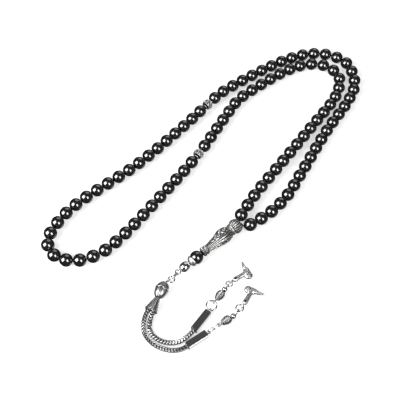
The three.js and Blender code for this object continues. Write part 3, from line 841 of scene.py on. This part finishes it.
def make_threads():
    for name, (first, last) in THREADS.items():
        form = sweep(Form(), thread_line(first, last, name), THREAD_RADIUS, 12, lobes=3,
                     twist=THREAD_TWIST)
        leads_in = name.startswith("imame")
        body = None if leads_in else "strand_" + name.split("_")[0]
        piece = make_piece(f"thread_{name}", form, thread_finish(), body, f"cord_{name}")
        if leads_in:
            bead = CENTRES[0 if name == "imame_inner" else -1]
            mouth = HEAD[:3, 3] - KNOB_MOUTH * HEAD[:3, 1]
            exit_point = beyond(bead, mouth, BEND_START * BEAD_RADIUS)
            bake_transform(piece)
    form = Form()
    for side in (-0.38, 0.38):
        line = respaced(array((side, -3.2, 0), (side, KNOT_STATION, 0)), THREAD_STEP)
        sweep(form, line, 0.36, 12, lobes=3, twist=THREAD_TWIST, place=HEAD)
    angle = np.arange(60) * TURN / 60
    reach = 0.5 + 0.22 * np.cos(3 * angle)
    knot = np.stack([reach * np.cos(2 * angle), 0.3 * np.sin(3 * angle) + KNOT_STATION,
                     reach * np.sin(2 * angle)], 1)
    sweep(form, knot, 0.3, 10, True, place=HEAD)
    make_piece("doubled_thread", form, thread_finish(), "head", "cord_tail")


# ---- The imame and what is threaded below it ----------------------------------------------

IMAME_BORE = 1.3


def knob_relief(angle, station, radius):
    """Close flutes crossed by rows of small beading."""
    flutes = np.abs(np.cos(9 * angle)) ** 0.8
    rows = np.abs(np.cos(math.pi * (station - 0.4) / 1.05)) ** 0.7
    return 0.42 * flutes * (0.4 + 0.6 * rows) - 0.22


def scroll(across, along):
    """One curled tendril, around its own centre."""
    reach = np.hypot(across, along)
    return np.cos(TURN * reach / 0.95 - np.arctan2(along, across)) * bump(reach, 1.35)


def imame_relief(angle, station, radius):
    """Long flutes, three leaf panels of scrolls with raised edges, and roped collars."""
    flutes = 0.3 * (np.abs(np.cos(9 * angle)) ** 0.7 - 0.6)
    phi = wrapped(angle, 3, math.radians(65))
    down = np.clip((station - 5.2) / 14.5, 0, 1)
    half = 0.74 * np.sin(math.pi * down ** 0.7)
    across = phi * radius
    curls = sum(scroll(across - side * 0.16 * radius, station - at)
                for at, side in ((7.4, 0), (9.3, 1.6), (10.6, -1.6), (12.6, 0.9), (14.9, -0.5)))
    edge = bump(across - half * radius, 0.3) + bump(across + half * radius, 0.3)
    lobed = 0.75 + 0.25 * np.cos(TURN * station / 1.5)
    panel = np.abs(phi) < half
    height = np.where(panel, 0.02 + 0.34 * curls, flutes) + 0.36 * edge * lobed * (half > 0.05)
    collar = bump(station - 23.6, 0.5) + bump(station - 25.6, 0.6)
    rope = 0.14 * np.cos(20 * angle + 5 * station) * collar
    plain = (station > 22.4) | (station < 4.9)
    return np.where(plain, rope, height)


def make_imame():
    form = relief_turned(Form(), [
        (1.9, -3.3), (2.5, -3.15), (3.6, -2.4), (4.3, -0.9), (4.45, 0.4), (4.05, 1.7),
        (3.2, 2.75), (2.6, 2.95),
    ], IMAME_BORE, knob_relief, 160, 80, HEAD)
    make_piece("beaded_knob", form, cast_silver(), "head", "imame_knob")
    form = turned(Form(), [
        (IMAME_BORE, 3.1), (3.2, 3.1), (3.65, 3.25), (3.8, 3.6), (3.65, 3.95), (3.2, 4.1),
        (IMAME_BORE, 4.1)], 64, place=HEAD)
    make_piece("bright_washer", form, satin_silver(), "head", "imame_washer")
    form = relief_turned(Form(), [
        (2.9, 4.3), (3.35, 5.1), (4.15, 7.2), (4.5, 9.6), (4.3, 11.8), (3.5, 15), (2.75, 19),
        (2.3, 22.2), (2.3, 22.7), (2.75, 23.1), (2.8, 23.6), (2.75, 24.2), (2.35, 24.6),
        (2.8, 25), (2.95, 25.6), (2.8, 26.2), (2.2, 26.6),
    ], IMAME_BORE, imame_relief, 240, 260, HEAD)
    make_piece("fluted_imame", form, cast_silver(), "imame", "imame_body")


def make_threaded_pieces():
    form = sweep(Form(), respaced(array((0, 21.3, 0), (0, EYE_STATION - EYE_RADIUS, 0)), 1),
                 0.5, 16, place=HEAD)
    ball(form, (0, 21.5, 0), 1.05, 20, place=HEAD)
    loop(form, EYE_RADIUS, EYE_WIRE, place=HEAD, shift=EYE_STATION - EYE_RADIUS)
    make_piece("eyed_pin", form, polished_silver(), "pin", "head_pin")
    form = turned(Form(), [
        (PIN_BORE, 35.3), (1.8, 35.15), (2.7, 34.6), (3.2, 34.15), (3.4, 34.2), (3.45, 34.5),
        (3.2, 35.1), (2.7, 35.75), (2, 36.25), (1.4, 36.4), (PIN_BORE, 36.4)], 64, place=HEAD)
    make_piece("flared_silver_cap", form, satin_silver(), "pin", "flared_cap")
    form = drilled_ball(Form(), 2.95, PIN_BORE, 48, 28, 1.18, 40.1, HEAD)
    make_piece("oval_silver_bead", form, polished_silver(), "oval_bead", "oval_bead")


# ---- The link, the jump ring, the crown bead and the cone ---------------------------------

def make_links():
    stretch = AT["oval_link_length"] - 2 * OVAL_LINK_RADIUS
    form = loop(Form(), OVAL_LINK_RADIUS, stretch=stretch, upright=True, place=AT["oval_link"])
    make_piece("upright_oval_link", form, polished_silver(), "oval_link", "oval_link")
    form = loop(Form(), JUMP_RING_RADIUS, place=AT["jump_ring"])
    make_piece("round_jump_ring", form, polished_silver(), "jump_ring", "jump_ring")


def crown_relief(angle, station, radius):
    """A cap of small scales with a roped edge, over six smooth petals."""
    edge = 4.15 + 0.45 * np.cos(6 * angle)
    scales = 0.08 * np.cos(15 * angle + math.pi * np.floor(station / 0.7)) \
        * np.abs(np.sin(math.pi * station / 0.7)) ** 0.5
    petals = 0.34 * (np.abs(np.cos(3 * angle)) ** 0.25 - 0.9)
    rope = bump(station - edge, 0.3) * (0.26 + 0.1 * np.cos(36 * angle))
    return np.where(station < edge, scales - 0.02, petals) + rope


def crown_pin_form():
    form = Form()
    end = AT["crown_eye_end"]
    hook = AT["crown_eye_hook"]
    eye = lying(hook, end)
    loop(form, 1.1, upright=True, place=eye)
    back = placed(array([0, 2.2, 0]), eye)[0]
    foot, deep = placed(array((0, 0.3, 0), (0, 14, 0)), CROWN)
    sweep(form, respaced(array(back, foot), 0.3), 0.42, 12)
    sweep(form, respaced(array(foot, deep), 1), 0.5, 12)
    ball(form, deep, 1, 16)
    return form


def cone_relief(angle, station, radius):
    """Eight flat sides, with a roped wire along each corner and a rim round the mouth."""
    facet = wrapped(angle, 8)
    flat = radius * (math.cos(math.pi / 8) / np.cos(facet) - 1)
    corner = wrapped(angle, 8, math.pi / 8) * radius
    rope = bump(corner, 0.2) * (0.16 + 0.14 * np.cos(TURN * station / 0.6))
    tracery = 0.07 * np.cos(TURN * station / 1.7) * np.cos(facet * 18)
    rim = 0.22 * bump(station - 18.75, 0.3)
    return flat + rope + tracery + rim - 0.12


def make_crown():
    form = relief_turned(Form(), [
        (1.3, 0.05), (2, 0.4), (3, 1.7), (3.65, 3.6), (3.8, 5.1), (3.5, 7.2), (2.75, 9),
        (1.8, 10.1),
    ], PIN_BORE, crown_relief, 180, 140, CROWN)
    make_piece("petalled_crown_bead", form, cast_silver(), "crown", "crown_bead")
    make_piece("crown_eye_wire", crown_pin_form(), polished_silver(), "crown", "crown_pin")


def make_cone():
    form = Form()
    outline = smooth_line([(1.65, 10.5, 0), (2.1, 12.4, 0), (3.0, 16, 0), (3.75, 18.6, 0),
                           (3.8, 19, 0)], 120)[:, :2]
    around = 192
    angle = np.arange(around) * TURN / around
    radius, station = outline[:, :1], outline[:, 1:]
    height = cone_relief(angle[None, :], station, radius)
    corner = wrapped(angle, 8, math.pi / 8)[None, :] * radius
    depth = 0.9 * bump(np.abs(corner) - 0.42, 0.16) + 0.25 * local_recess(height)
    inside = [(3.35, 19), (2.7, 16.8), (1.5, 12.6), (PIN_BORE, 12.2), (PIN_BORE, 10.5)]
    rows = np.zeros((len(outline) + len(inside), around, 3))
    outer = radius + height
    rows[:len(outline), :, 0] = outer * np.cos(angle)
    rows[:len(outline), :, 1] = station
    rows[:len(outline), :, 2] = outer * np.sin(angle)
    rows[len(outline):] = turned_rows(inside, around)
    recess = np.vstack([depth, np.ones((len(inside), around))])
    form.add(rows, skin(rows, True), recess, CROWN)
    make_piece("roped_bell_cone", form, cast_silver(), "crown", "bell_cone")


# ---- The woven chains and their tubes -----------------------------------------------------

BRAIDS = {
    "inner": (INNER_BRAID_ROUTE, (-30, -100, 1.8), (-20, -103, 1.8), 0.0),
    "outer": (OUTER_BRAID_ROUTE, (-34, -102, 1.8), (-23, -107.4, 1.8), math.pi / 4),
}
CHEVRON_DEPTH = 0.5
LOOP_WIRE = 0.36
BRAID_REACH = 1.55
CORE_RADIUS = 1.0


def woven_loop(roll):
    """One loop of the weave: it goes round the chain in four chevrons, tips forward."""
    angle = np.arange(32) * TURN / 32
    tips = 1 - np.abs(wrapped(angle, 4)) / (math.pi / 4)
    along = CHEVRON_DEPTH * (2 * tips - 1)
    reach = (BRAID_REACH - LOOP_WIRE) * (0.93 + 0.07 * tips)
    return along, reach * np.cos(angle + roll), reach * np.sin(angle + roll)


def make_braids(pitch):
    for name, (route, start, end, roll) in BRAIDS.items():
        line = smooth_line(array(*route) + PLACE, 200)
        line = respaced(line, pitch)
        form = Form()
        ahead = np.gradient(line, axis=0)
        ahead /= np.linalg.norm(ahead, axis=1)[:, None]
        for i, point in enumerate(line):
            side = unit(np.cross(ahead[i], UP))
            over = np.cross(side, ahead[i])
            along, across, height = woven_loop(roll)
            where = point + np.outer(along, ahead[i]) + np.outer(across, side) \
                + np.outer(height, over)
            sweep(form, where, LOOP_WIRE, 8, True)
            out = form.points[-1] - point
            reach = np.linalg.norm(out - np.outer(out @ ahead[i], ahead[i]), axis=1)
            form.recess[-1] = np.clip((BRAID_REACH - 0.16 - reach) / 0.35, 0, 1)
        # Painted shade: a core with full recess, so the gaps between the loops show near-black where
        # the chain's inside is in shade.
        sweep(form, respaced(line, 0.8), CORE_RADIUS, 16, recess=1.0)
        piece = make_piece(f"woven_chain_{name}", form, woven_silver(), None,
                           f"braid_{name}")
        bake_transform(piece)
        length = stations_of(line)[-1] * MM


def tube_form(place, length):
    """A square sleeve with softened corners, a round socket, an end cap and an eyelet."""
    form = Form()
    corner = 0.35
    half_width, half_height = TUBE_WIDTH / 2, TUBE_HEIGHT / 2
    turn = np.linspace(0, math.pi / 2, 6)
    outline = []
    for k, (x, z) in enumerate(((1, 1), (-1, 1), (-1, -1), (1, -1))):
        angles = turn + k * math.pi / 2
        outline += list(zip(x * (half_width - corner) + corner * np.cos(angles),
                            z * (half_height - corner) + corner * np.sin(angles)))
    outline = np.array(outline)
    around = np.arctan2(outline[:, 1], outline[:, 0])
    socket = 1.72 * np.stack([np.cos(around), np.sin(around)], 1)

    def ring(points, station, shrink=0.0):
        scale = 1 - shrink / half_height
        flat = points * scale
        return np.stack([flat[:, 0], np.full(len(flat), station), flat[:, 1]], 1)

    rows = np.array([
        ring(outline, 0.12), ring(outline, length - 0.12), ring(outline, length, 0.12),
        ring(socket, length, 0.5), ring(socket * 0.02, length), ring(socket * 0.02, 3.2),
        ring(socket, 3.2), ring(socket, 0.15), ring(socket * 1.04, 0), ring(outline, 0, 0.12)])
    recess = np.zeros(rows.shape[:2])
    recess[4:8] = 1
    form.add(rows, skin(rows, True), recess, place)
    for station in (1.0, length - 1.0):
        band = np.array([ring(outline * 1.012, station + s) for s in (-0.16, 0.16)])
        form.add(band, skin(band), 0, place)
    loop(form, 1.0, upright=True, place=place, shift=length + EYELET_REACH - 1.0)
    return form


def make_tubes():
    for name, ends in (("inner", INNER_TUBE), ("outer", OUTER_TUBE)):
        length = np.linalg.norm(np.subtract(*ends))
        make_piece(f"square_sleeve_{name}", tube_form(AT[f"tube_{name}"], length),
                   polished_silver(), f"branch_{name}", f"tube_{name}")


# ---- Rings, barrels and charms ------------------------------------------------------------

def make_rings():
    rings = (("ring_inner", AT["ring_inner_radius"]),
             ("top_ring_inner", AT["top_ring_inner_radius"]),
             ("top_ring_outer", OUTER_TOP_RING_RADIUS))
    for name, radius in rings:
        form = loop(Form(), radius, place=AT[name])
        make_piece(f"wire_{name}", form, polished_silver(), name, name)
    for name, upright in (("link_flat_outer", False), ("link_upright_outer", True)):
        form = loop(Form(), SMALL_LINK_RADIUS, DRAWN_LINK_WIRE, AT["small_link_stretch"], upright,
                    AT[name])
        make_piece(f"wire_{name}", form, polished_silver(), name, name)


COIL_OUTLINE = ((0.1, 1.2), (0.9, 1.75), (3, 2.5), (4.2, 2.6), (5.4, 2.2), (6.3, 1.6))
COIL_WIRE = 0.36
COIL_PITCH = 0.8


def coil_form(place, start):
    """Wire wound in close turns over a spindle-shaped core, which it hides; the core is painted dark
    as the shade between the turns.
    """
    form = Form()
    stations, radii = np.array(COIL_OUTLINE).T
    turns = (BARREL_LENGTH - 2 * COIL_WIRE) / COIL_PITCH
    angle = np.linspace(0, TURN * turns, round(28 * turns))
    station = COIL_WIRE + COIL_PITCH * angle / TURN
    radius = np.interp(station, stations, radii) - COIL_WIRE
    helix = np.stack([radius * np.cos(angle), start + station, radius * np.sin(angle)], 1)
    sweep(form, helix, COIL_WIRE, 10)
    coil = form.points[-1]
    reach = np.hypot(coil[:, 0], coil[:, 2]) - np.repeat(radius, 10)
    form.recess[-1] = np.clip(0.75 - 1.1 * reach / COIL_WIRE, 0, 1)
    form.points[-1] = placed(coil, place)
    # Painted shade: the core has full recess and lies between the turns, so the gaps between them
    # show near-black.
    core = [(max(r - 1.35 * COIL_WIRE, 0.42), start + s) for s, r in COIL_OUTLINE]
    core = [(WIRE_RADIUS, core[0][1]), *core, (WIRE_RADIUS, core[-1][1])]
    turned(form, core, 32, 1.0, place)
    return form


def make_barrels():
    place = AT["barrel_inner"]
    form = coil_form(place, INNER_COIL_START)
    for shift in (-BARREL_EYE, INNER_END_EYE - BARREL_EYE):
        loop(form, BARREL_EYE, WIRE_RADIUS, upright=True, place=place, shift=shift)
    ball_at = ball_station(INNER_COIL_START)
    wire = array((0, 0.7, 0), (0, ball_at + BALL_RADIUS + 0.4, 0))
    sweep(form, respaced(wire, 1), WIRE_RADIUS, 12, place=place)
    make_piece("wound_barrel_inner", form, cast_silver(), "barrel_inner", "barrel_inner")
    form = drilled_ball(Form(), BALL_RADIUS, BALL_BORE, 32, 18, station=ball_at, place=place)
    make_piece("bright_ball_inner", form, polished_silver(), "barrel_inner", "ball_inner")

    place = AT["barrel_outer"]
    form = coil_form(place, OUTER_COIL_START)
    loop(form, SMALL_LINK_RADIUS, LINK_WIRE, place=place)
    ball_at = ball_station(OUTER_COIL_START)
    wire = array((0, 1.9, 0), (0, ball_at + BALL_RADIUS, 0))
    sweep(form, respaced(wire, 1), WIRE_RADIUS, 12, place=place)
    eye = AT["outer_eye"]
    sweep(form, respaced(array(AT["outer_neck_from"], eye[:3, 3]), 0.4), WIRE_RADIUS, 12)
    loop(form, BARREL_EYE, WIRE_RADIUS, OUTER_EYE_STRETCH, upright=True, place=eye)
    make_piece("wound_barrel_outer", form, cast_silver(), "barrel_outer", "barrel_outer")
    form = drilled_ball(Form(), BALL_RADIUS, BALL_BORE, 32, 18, station=ball_at, place=place)
    make_piece("bright_ball_outer", form, polished_silver(), "barrel_outer", "ball_outer")


CHARM_VOXEL = 0.17
STEM_RADII = (0.7, 1.35, 1.55, 1.3, 1.45)


def charm_blank():
    """The rough masses of a cast charm: a stem, a bud, a lobe and a thin curled tail."""
    form = Form()
    stem = smooth_line([(0, 1.4, 0), (0, 2.6, 0), (0, 6, 0), (0, 10.4, 0)], 24)
    sweep(form, stem, np.interp(stem[:, 1], (1.4, 2, 3.4, 6, 10.4), STEM_RADII), 24)
    ball(form, (0.1, 11.2, 0), (2.9, 2, 1.55), 28)
    ball(form, (2.4, 10.8, 0), (2.1, 2.3, 1.55), 28)
    ball(form, (-1.3, 12, 0.1), (2, 1.4, 1.25), 24)
    tail = smooth_line([(-1.6, 11.9, 0), (-3.6, 11.7, 0), (-5.2, 12.1, 0), (-6.6, 12.6, 0)], 24)
    sweep(form, tail, np.linspace(1.3, 0.64, 25), 16)
    ball(form, (-6.6, 12.6, 0), 0.66, 16)
    return form


def charm_engraving(points):
    """Grooves cut in the cast surface: outlines in the lobe, veins in the bud and stem."""
    x, y, _ = points.T
    lobe = np.hypot(x - 2.55, y - 11.1)
    rings = bump(lobe - 1.35, 0.16) + bump(lobe - 0.6, 0.15)
    bud = (x < 1.2) * (y > 9.6)
    veins = bump((y - 11.35 - 0.25 * np.sin(1.4 * x)), 0.14) \
        + bump(np.sin(2.1 * (x + 0.5 * y)), 0.22) * (y > 11.6)
    stem = (y < 9.4) * (bump(np.abs(x) - 0.45, 0.12) * (y > 4.4)
                        + 1.5 * bump(np.hypot(x, (y - 3) / 1.6), 0.55))
    return np.clip(rings * (x > 0.9) + veins * bud + stem, 0, 1.6)


def charm_form(mirrored):
    blank = charm_blank()
    mesh = bpy.data.meshes.new("charm_blank")
    mesh.from_pydata(np.vstack(blank.points).tolist(), [], blank.faces)
    rough = bpy.data.objects.new("charm_blank", mesh)
    bpy.context.scene.collection.objects.link(rough)
    remesh = rough.modifiers.new("cast", "REMESH")
    remesh.mode = "VOXEL"
    remesh.voxel_size = CHARM_VOXEL
    soften = rough.modifiers.new("soften", "SMOOTH")
    soften.iterations = 6
    cast = bpy.data.meshes.new_from_object(
        rough.evaluated_get(bpy.context.evaluated_depsgraph_get()))
    bpy.data.objects.remove(rough)
    points = np.array([v.co for v in cast.vertices])
    normals = np.array([v.normal for v in cast.vertices])
    faces = [tuple(p.vertices) for p in cast.polygons]
    bpy.data.meshes.remove(cast)
    cut = charm_engraving(points)
    points = points - normals * 0.2 * cut[:, None]
    if mirrored:
        points[:, 0] *= -1
        points[:, 2] *= -1
    return Form().add(points, faces, np.clip(0.25 + 0.75 * cut, 0, 1) * (cut > 0.25))


def make_charms():
    for name, mirrored in (("inner", False), ("outer", True)):
        form = charm_form(mirrored)
        form.points = [placed(form.points[0], AT[f"charm_{name}"])]
        loop(form, 1.2, LINK_WIRE, upright=True, place=AT[f"charm_{name}"], shift=-1.2)
        make_piece(f"cast_charm_{name}", form, satin_silver(), f"charm_{name}",
                   f"charm_{name}")


# ---- The stage ----------------------------------------------------------------------------

AIM = PLACE + array(-7, -12, 4)
SOFTBOXES = {
    # name: direction from the beads, width, height, distance, brightness
    "left_softbox": ((-0.75, -0.3, 0.6), 0.56, 0.66, 0.8, 6.0),
    "right_softbox": ((0.46, -0.62, 0.64), 0.34, 0.56, 0.8, 5.0),
}
STUDIO_TONE = 0.07
STUDIO_CARDS = (
    # direction, cosines at its soft edge and where it is full, brightness
    ((0.2, 0.85, 0.5), (0.88, 0.95), 0.75),
    ((0.55, -0.03, -0.83), (0.9, 0.96), 0.85),
    ((-0.5, -0.2, 0.85), (0.8, 0.98), 0.25),
)
# In metres; the table lies a hair under the pieces so that no faces coincide.
TABLE_REACH = 30.0
TABLE_DROP = 0.00005
TABLE_GLOW = 0.55


def aimed(obj, location, target):
    obj.location = location
    obj.rotation_euler = (Vector(target) - Vector(location)).to_track_quat("-Z", "Y").to_euler()


def make_camera(settings):
    camera = bpy.data.objects.new("camera", bpy.data.cameras.new("camera"))
    bpy.context.scene.collection.objects.link(camera)
    camera.data.lens = settings.lens
    camera.data.sensor_width = 36
    camera.data.clip_start = 0.01
    aim = AIM * MM
    back = array(0, -math.cos(settings.elevation), math.sin(settings.elevation))
    aimed(camera, aim + settings.distance * back, aim)
    bpy.context.scene.camera = camera
    bpy.context.scene.view_settings.view_transform = "Standard"


def make_lights():
    for name, (direction, width, height, distance, brightness) in SOFTBOXES.items():
        data = bpy.data.lights.new(name, "AREA")
        data.shape = "RECTANGLE"
        data.size, data.size_y = width, height
        data.energy = brightness * math.pi * width * height
        light = bpy.data.objects.new(name, data)
        bpy.context.scene.collection.objects.link(light)
        aimed(light, AIM * MM + distance * unit(np.array(direction)), AIM * MM)


def card_glow(tree, ahead, direction, edges, tone):
    """The glow of one soft card of the studio, seen along a direction."""
    towards = tree.nodes.new("ShaderNodeVectorMath")
    towards.operation = "DOT_PRODUCT"
    towards.inputs[1].default_value = unit(np.array(direction))
    tree.links.new(ahead, towards.inputs[0])
    soft = tree.nodes.new("ShaderNodeMapRange")
    soft.interpolation_type = "SMOOTHSTEP"
    tree.links.new(towards.outputs["Value"], soft.inputs["Value"])
    soft.inputs["From Min"].default_value, soft.inputs["From Max"].default_value = edges
    soft.inputs["To Max"].default_value = tone
    return soft.outputs["Result"]


def make_surroundings():
    """A dark studio with a few large soft cards, which the polished pieces reflect."""
    world = bpy.data.worlds.new("studio")
    bpy.context.scene.world = world
    world.use_nodes = True
    tree = world.node_tree
    ahead = tree.nodes.new("ShaderNodeTexCoord").outputs["Generated"]
    total = STUDIO_TONE
    for direction, edges, tone in STUDIO_CARDS:
        total = math_node(tree, "ADD", card_glow(tree, ahead, direction, edges, tone), total)
    tree.links.new(total, tree.nodes["Background"].inputs["Color"])


def make_table(settings):
    mesh = bpy.data.meshes.new("table")
    corners = ((-1, -1), (1, -1), (1, 1), (-1, 1))
    mesh.from_pydata([(x * TABLE_REACH, y * TABLE_REACH, -TABLE_DROP) for x, y in corners],
                     [], [(0, 1, 2, 3)])
    material, tree, shader = fresh_material("Pale table")
    paper = noise_node(tree, 60.0)
    pale = [0.985 * c for c in settings.table]
    tree.links.new(mixed_colour(tree, paper, settings.table, pale), shader.inputs["Base Color"])
    shader.inputs["Roughness"].default_value = 0.9
    shader.inputs["Emission Color"].default_value = (1, 1, 1, 1)
    shader.inputs["Emission Strength"].default_value = TABLE_GLOW
    table = linked_object("table", mesh, material)
    table.visible_glossy = False


# ---- The add-on's operators, panel and registration ---------------------------------------

class MakeStage(bpy.types.Operator):
    """Sets up the camera, the softboxes, the surroundings and the table"""
    bl_idname = "misbaha.make_stage"
    bl_label = "Stage"
    bl_options = {"REGISTER", "UNDO"}

    def execute(self, context):
        make_camera(context.scene.stage_settings)
        make_lights()
        make_surroundings()
        make_table(context.scene.stage_settings)
        return {"FINISHED"}


class MakeBraids(bpy.types.Operator):
    """Weaves the tassel's two chains from loops of silver wire"""
    bl_idname = "misbaha.make_braids"
    bl_label = "Woven chains"
    bl_options = {"REGISTER", "UNDO"}

    def execute(self, context):
        make_braids(context.scene.silver_settings.weave_pitch / MM)
        return {"FINISHED"}


class MakeBeads(bpy.types.Operator):
    """Turns and drills the black beads"""
    bl_idname = "misbaha.make_beads"
    bl_label = "Beads"
    bl_options = {"REGISTER", "UNDO"}

    def execute(self, context):
        make_beads(context.scene.bead_settings.diameter / 2 / MM)
        return {"FINISHED"}


class MakeThreads(bpy.types.Operator):
    """Lays the thread through the beads, and its doubled ends down the imame"""
    bl_idname = "misbaha.make_threads"
    bl_label = "Thread"
    bl_options = {"REGISTER", "UNDO"}

    def execute(self, context):
        make_threads()
        return {"FINISHED"}


class MakeDividers(bpy.types.Operator):
    """Makes the two openwork divider beads"""
    bl_idname = "misbaha.make_dividers"
    bl_label = "Dividers"
    bl_options = {"REGISTER", "UNDO"}

    def execute(self, context):
        make_dividers()
        return {"FINISHED"}


class MakeImame(bpy.types.Operator):
    """Casts the imame's knob, washer and fluted body"""
    bl_idname = "misbaha.make_imame"
    bl_label = "Imame"
    bl_options = {"REGISTER", "UNDO"}

    def execute(self, context):
        make_imame()
        return {"FINISHED"}


class MakeThreadedPieces(bpy.types.Operator):
    """Makes the eyed pin, the flared cap and the oval bead"""
    bl_idname = "misbaha.make_threaded_pieces"
    bl_label = "Pin, cap and oval bead"
    bl_options = {"REGISTER", "UNDO"}

    def execute(self, context):
        make_threaded_pieces()
        return {"FINISHED"}


class MakeLinks(bpy.types.Operator):
    """Bends the oval link and the jump ring"""
    bl_idname = "misbaha.make_links"
    bl_label = "Link and jump ring"
    bl_options = {"REGISTER", "UNDO"}

    def execute(self, context):
        make_links()
        return {"FINISHED"}


class MakeCrown(bpy.types.Operator):
    """Casts the petalled crown bead and its eyed wire"""
    bl_idname = "misbaha.make_crown"
    bl_label = "Crown bead"
    bl_options = {"REGISTER", "UNDO"}

    def execute(self, context):
        make_crown()
        return {"FINISHED"}


class MakeCone(bpy.types.Operator):
    """Makes the roped bell cone"""
    bl_idname = "misbaha.make_cone"
    bl_label = "Bell cone"
    bl_options = {"REGISTER", "UNDO"}

    def execute(self, context):
        make_cone()
        return {"FINISHED"}


class MakeTubes(bpy.types.Operator):
    """Makes the two square sleeves"""
    bl_idname = "misbaha.make_tubes"
    bl_label = "Square sleeves"
    bl_options = {"REGISTER", "UNDO"}

    def execute(self, context):
        make_tubes()
        return {"FINISHED"}


class MakeRings(bpy.types.Operator):
    """Bends the tassel's rings and small links"""
    bl_idname = "misbaha.make_rings"
    bl_label = "Rings"
    bl_options = {"REGISTER", "UNDO"}

    def execute(self, context):
        make_rings()
        return {"FINISHED"}


class MakeBarrels(bpy.types.Operator):
    """Winds the two barrels and adds their ball ends"""
    bl_idname = "misbaha.make_barrels"
    bl_label = "Wound barrels"
    bl_options = {"REGISTER", "UNDO"}

    def execute(self, context):
        make_barrels()
        return {"FINISHED"}


class MakeCharms(bpy.types.Operator):
    """Casts and engraves the two charms"""
    bl_idname = "misbaha.make_charms"
    bl_label = "Charms"
    bl_options = {"REGISTER", "UNDO"}

    def execute(self, context):
        make_charms()
        return {"FINISHED"}


OPERATORS = (
    MakeStage, MakeBraids, MakeBeads, MakeThreads, MakeDividers, MakeImame,
    MakeThreadedPieces, MakeLinks, MakeCrown, MakeCone, MakeTubes, MakeRings, MakeBarrels,
    MakeCharms,
)


class PrayerBeadPanel(bpy.types.Panel):
    """Lists the makers and their settings"""
    bl_idname = "VIEW3D_PT_prayer_beads"
    bl_label = "Prayer beads"
    bl_space_type = "VIEW_3D"
    bl_region_type = "UI"
    bl_category = "Prayer beads"

    def draw(self, context):
        scene = context.scene
        for group, names in (
                (scene.bead_settings, ("diameter", "stone", "thread")),
                (scene.silver_settings, ("bright", "oxide_and_shade", "weave_pitch")),
                (scene.stage_settings, ("table", "elevation", "distance", "lens"))):
            for name in names:
                self.layout.prop(group, name)
        for operator in OPERATORS:
            self.layout.operator(operator.bl_idname)


CLASSES = (BeadSettings, SilverSettings, StageSettings, *OPERATORS, PrayerBeadPanel)


def register():
    for cls in CLASSES:
        bpy.utils.register_class(cls)
    bpy.types.Scene.bead_settings = bpy.props.PointerProperty(type=BeadSettings)
    bpy.types.Scene.silver_settings = bpy.props.PointerProperty(type=SilverSettings)
    bpy.types.Scene.stage_settings = bpy.props.PointerProperty(type=StageSettings)


def unregister():
    del bpy.types.Scene.stage_settings
    del bpy.types.Scene.silver_settings
    del bpy.types.Scene.bead_settings
    for cls in reversed(CLASSES):
        bpy.utils.unregister_class(cls)


def main():
    register()
    for operator in OPERATORS:
        group, name = operator.bl_idname.split(".")
        getattr(getattr(bpy.ops, group), name)()


if __name__ == "__main__":
    main()
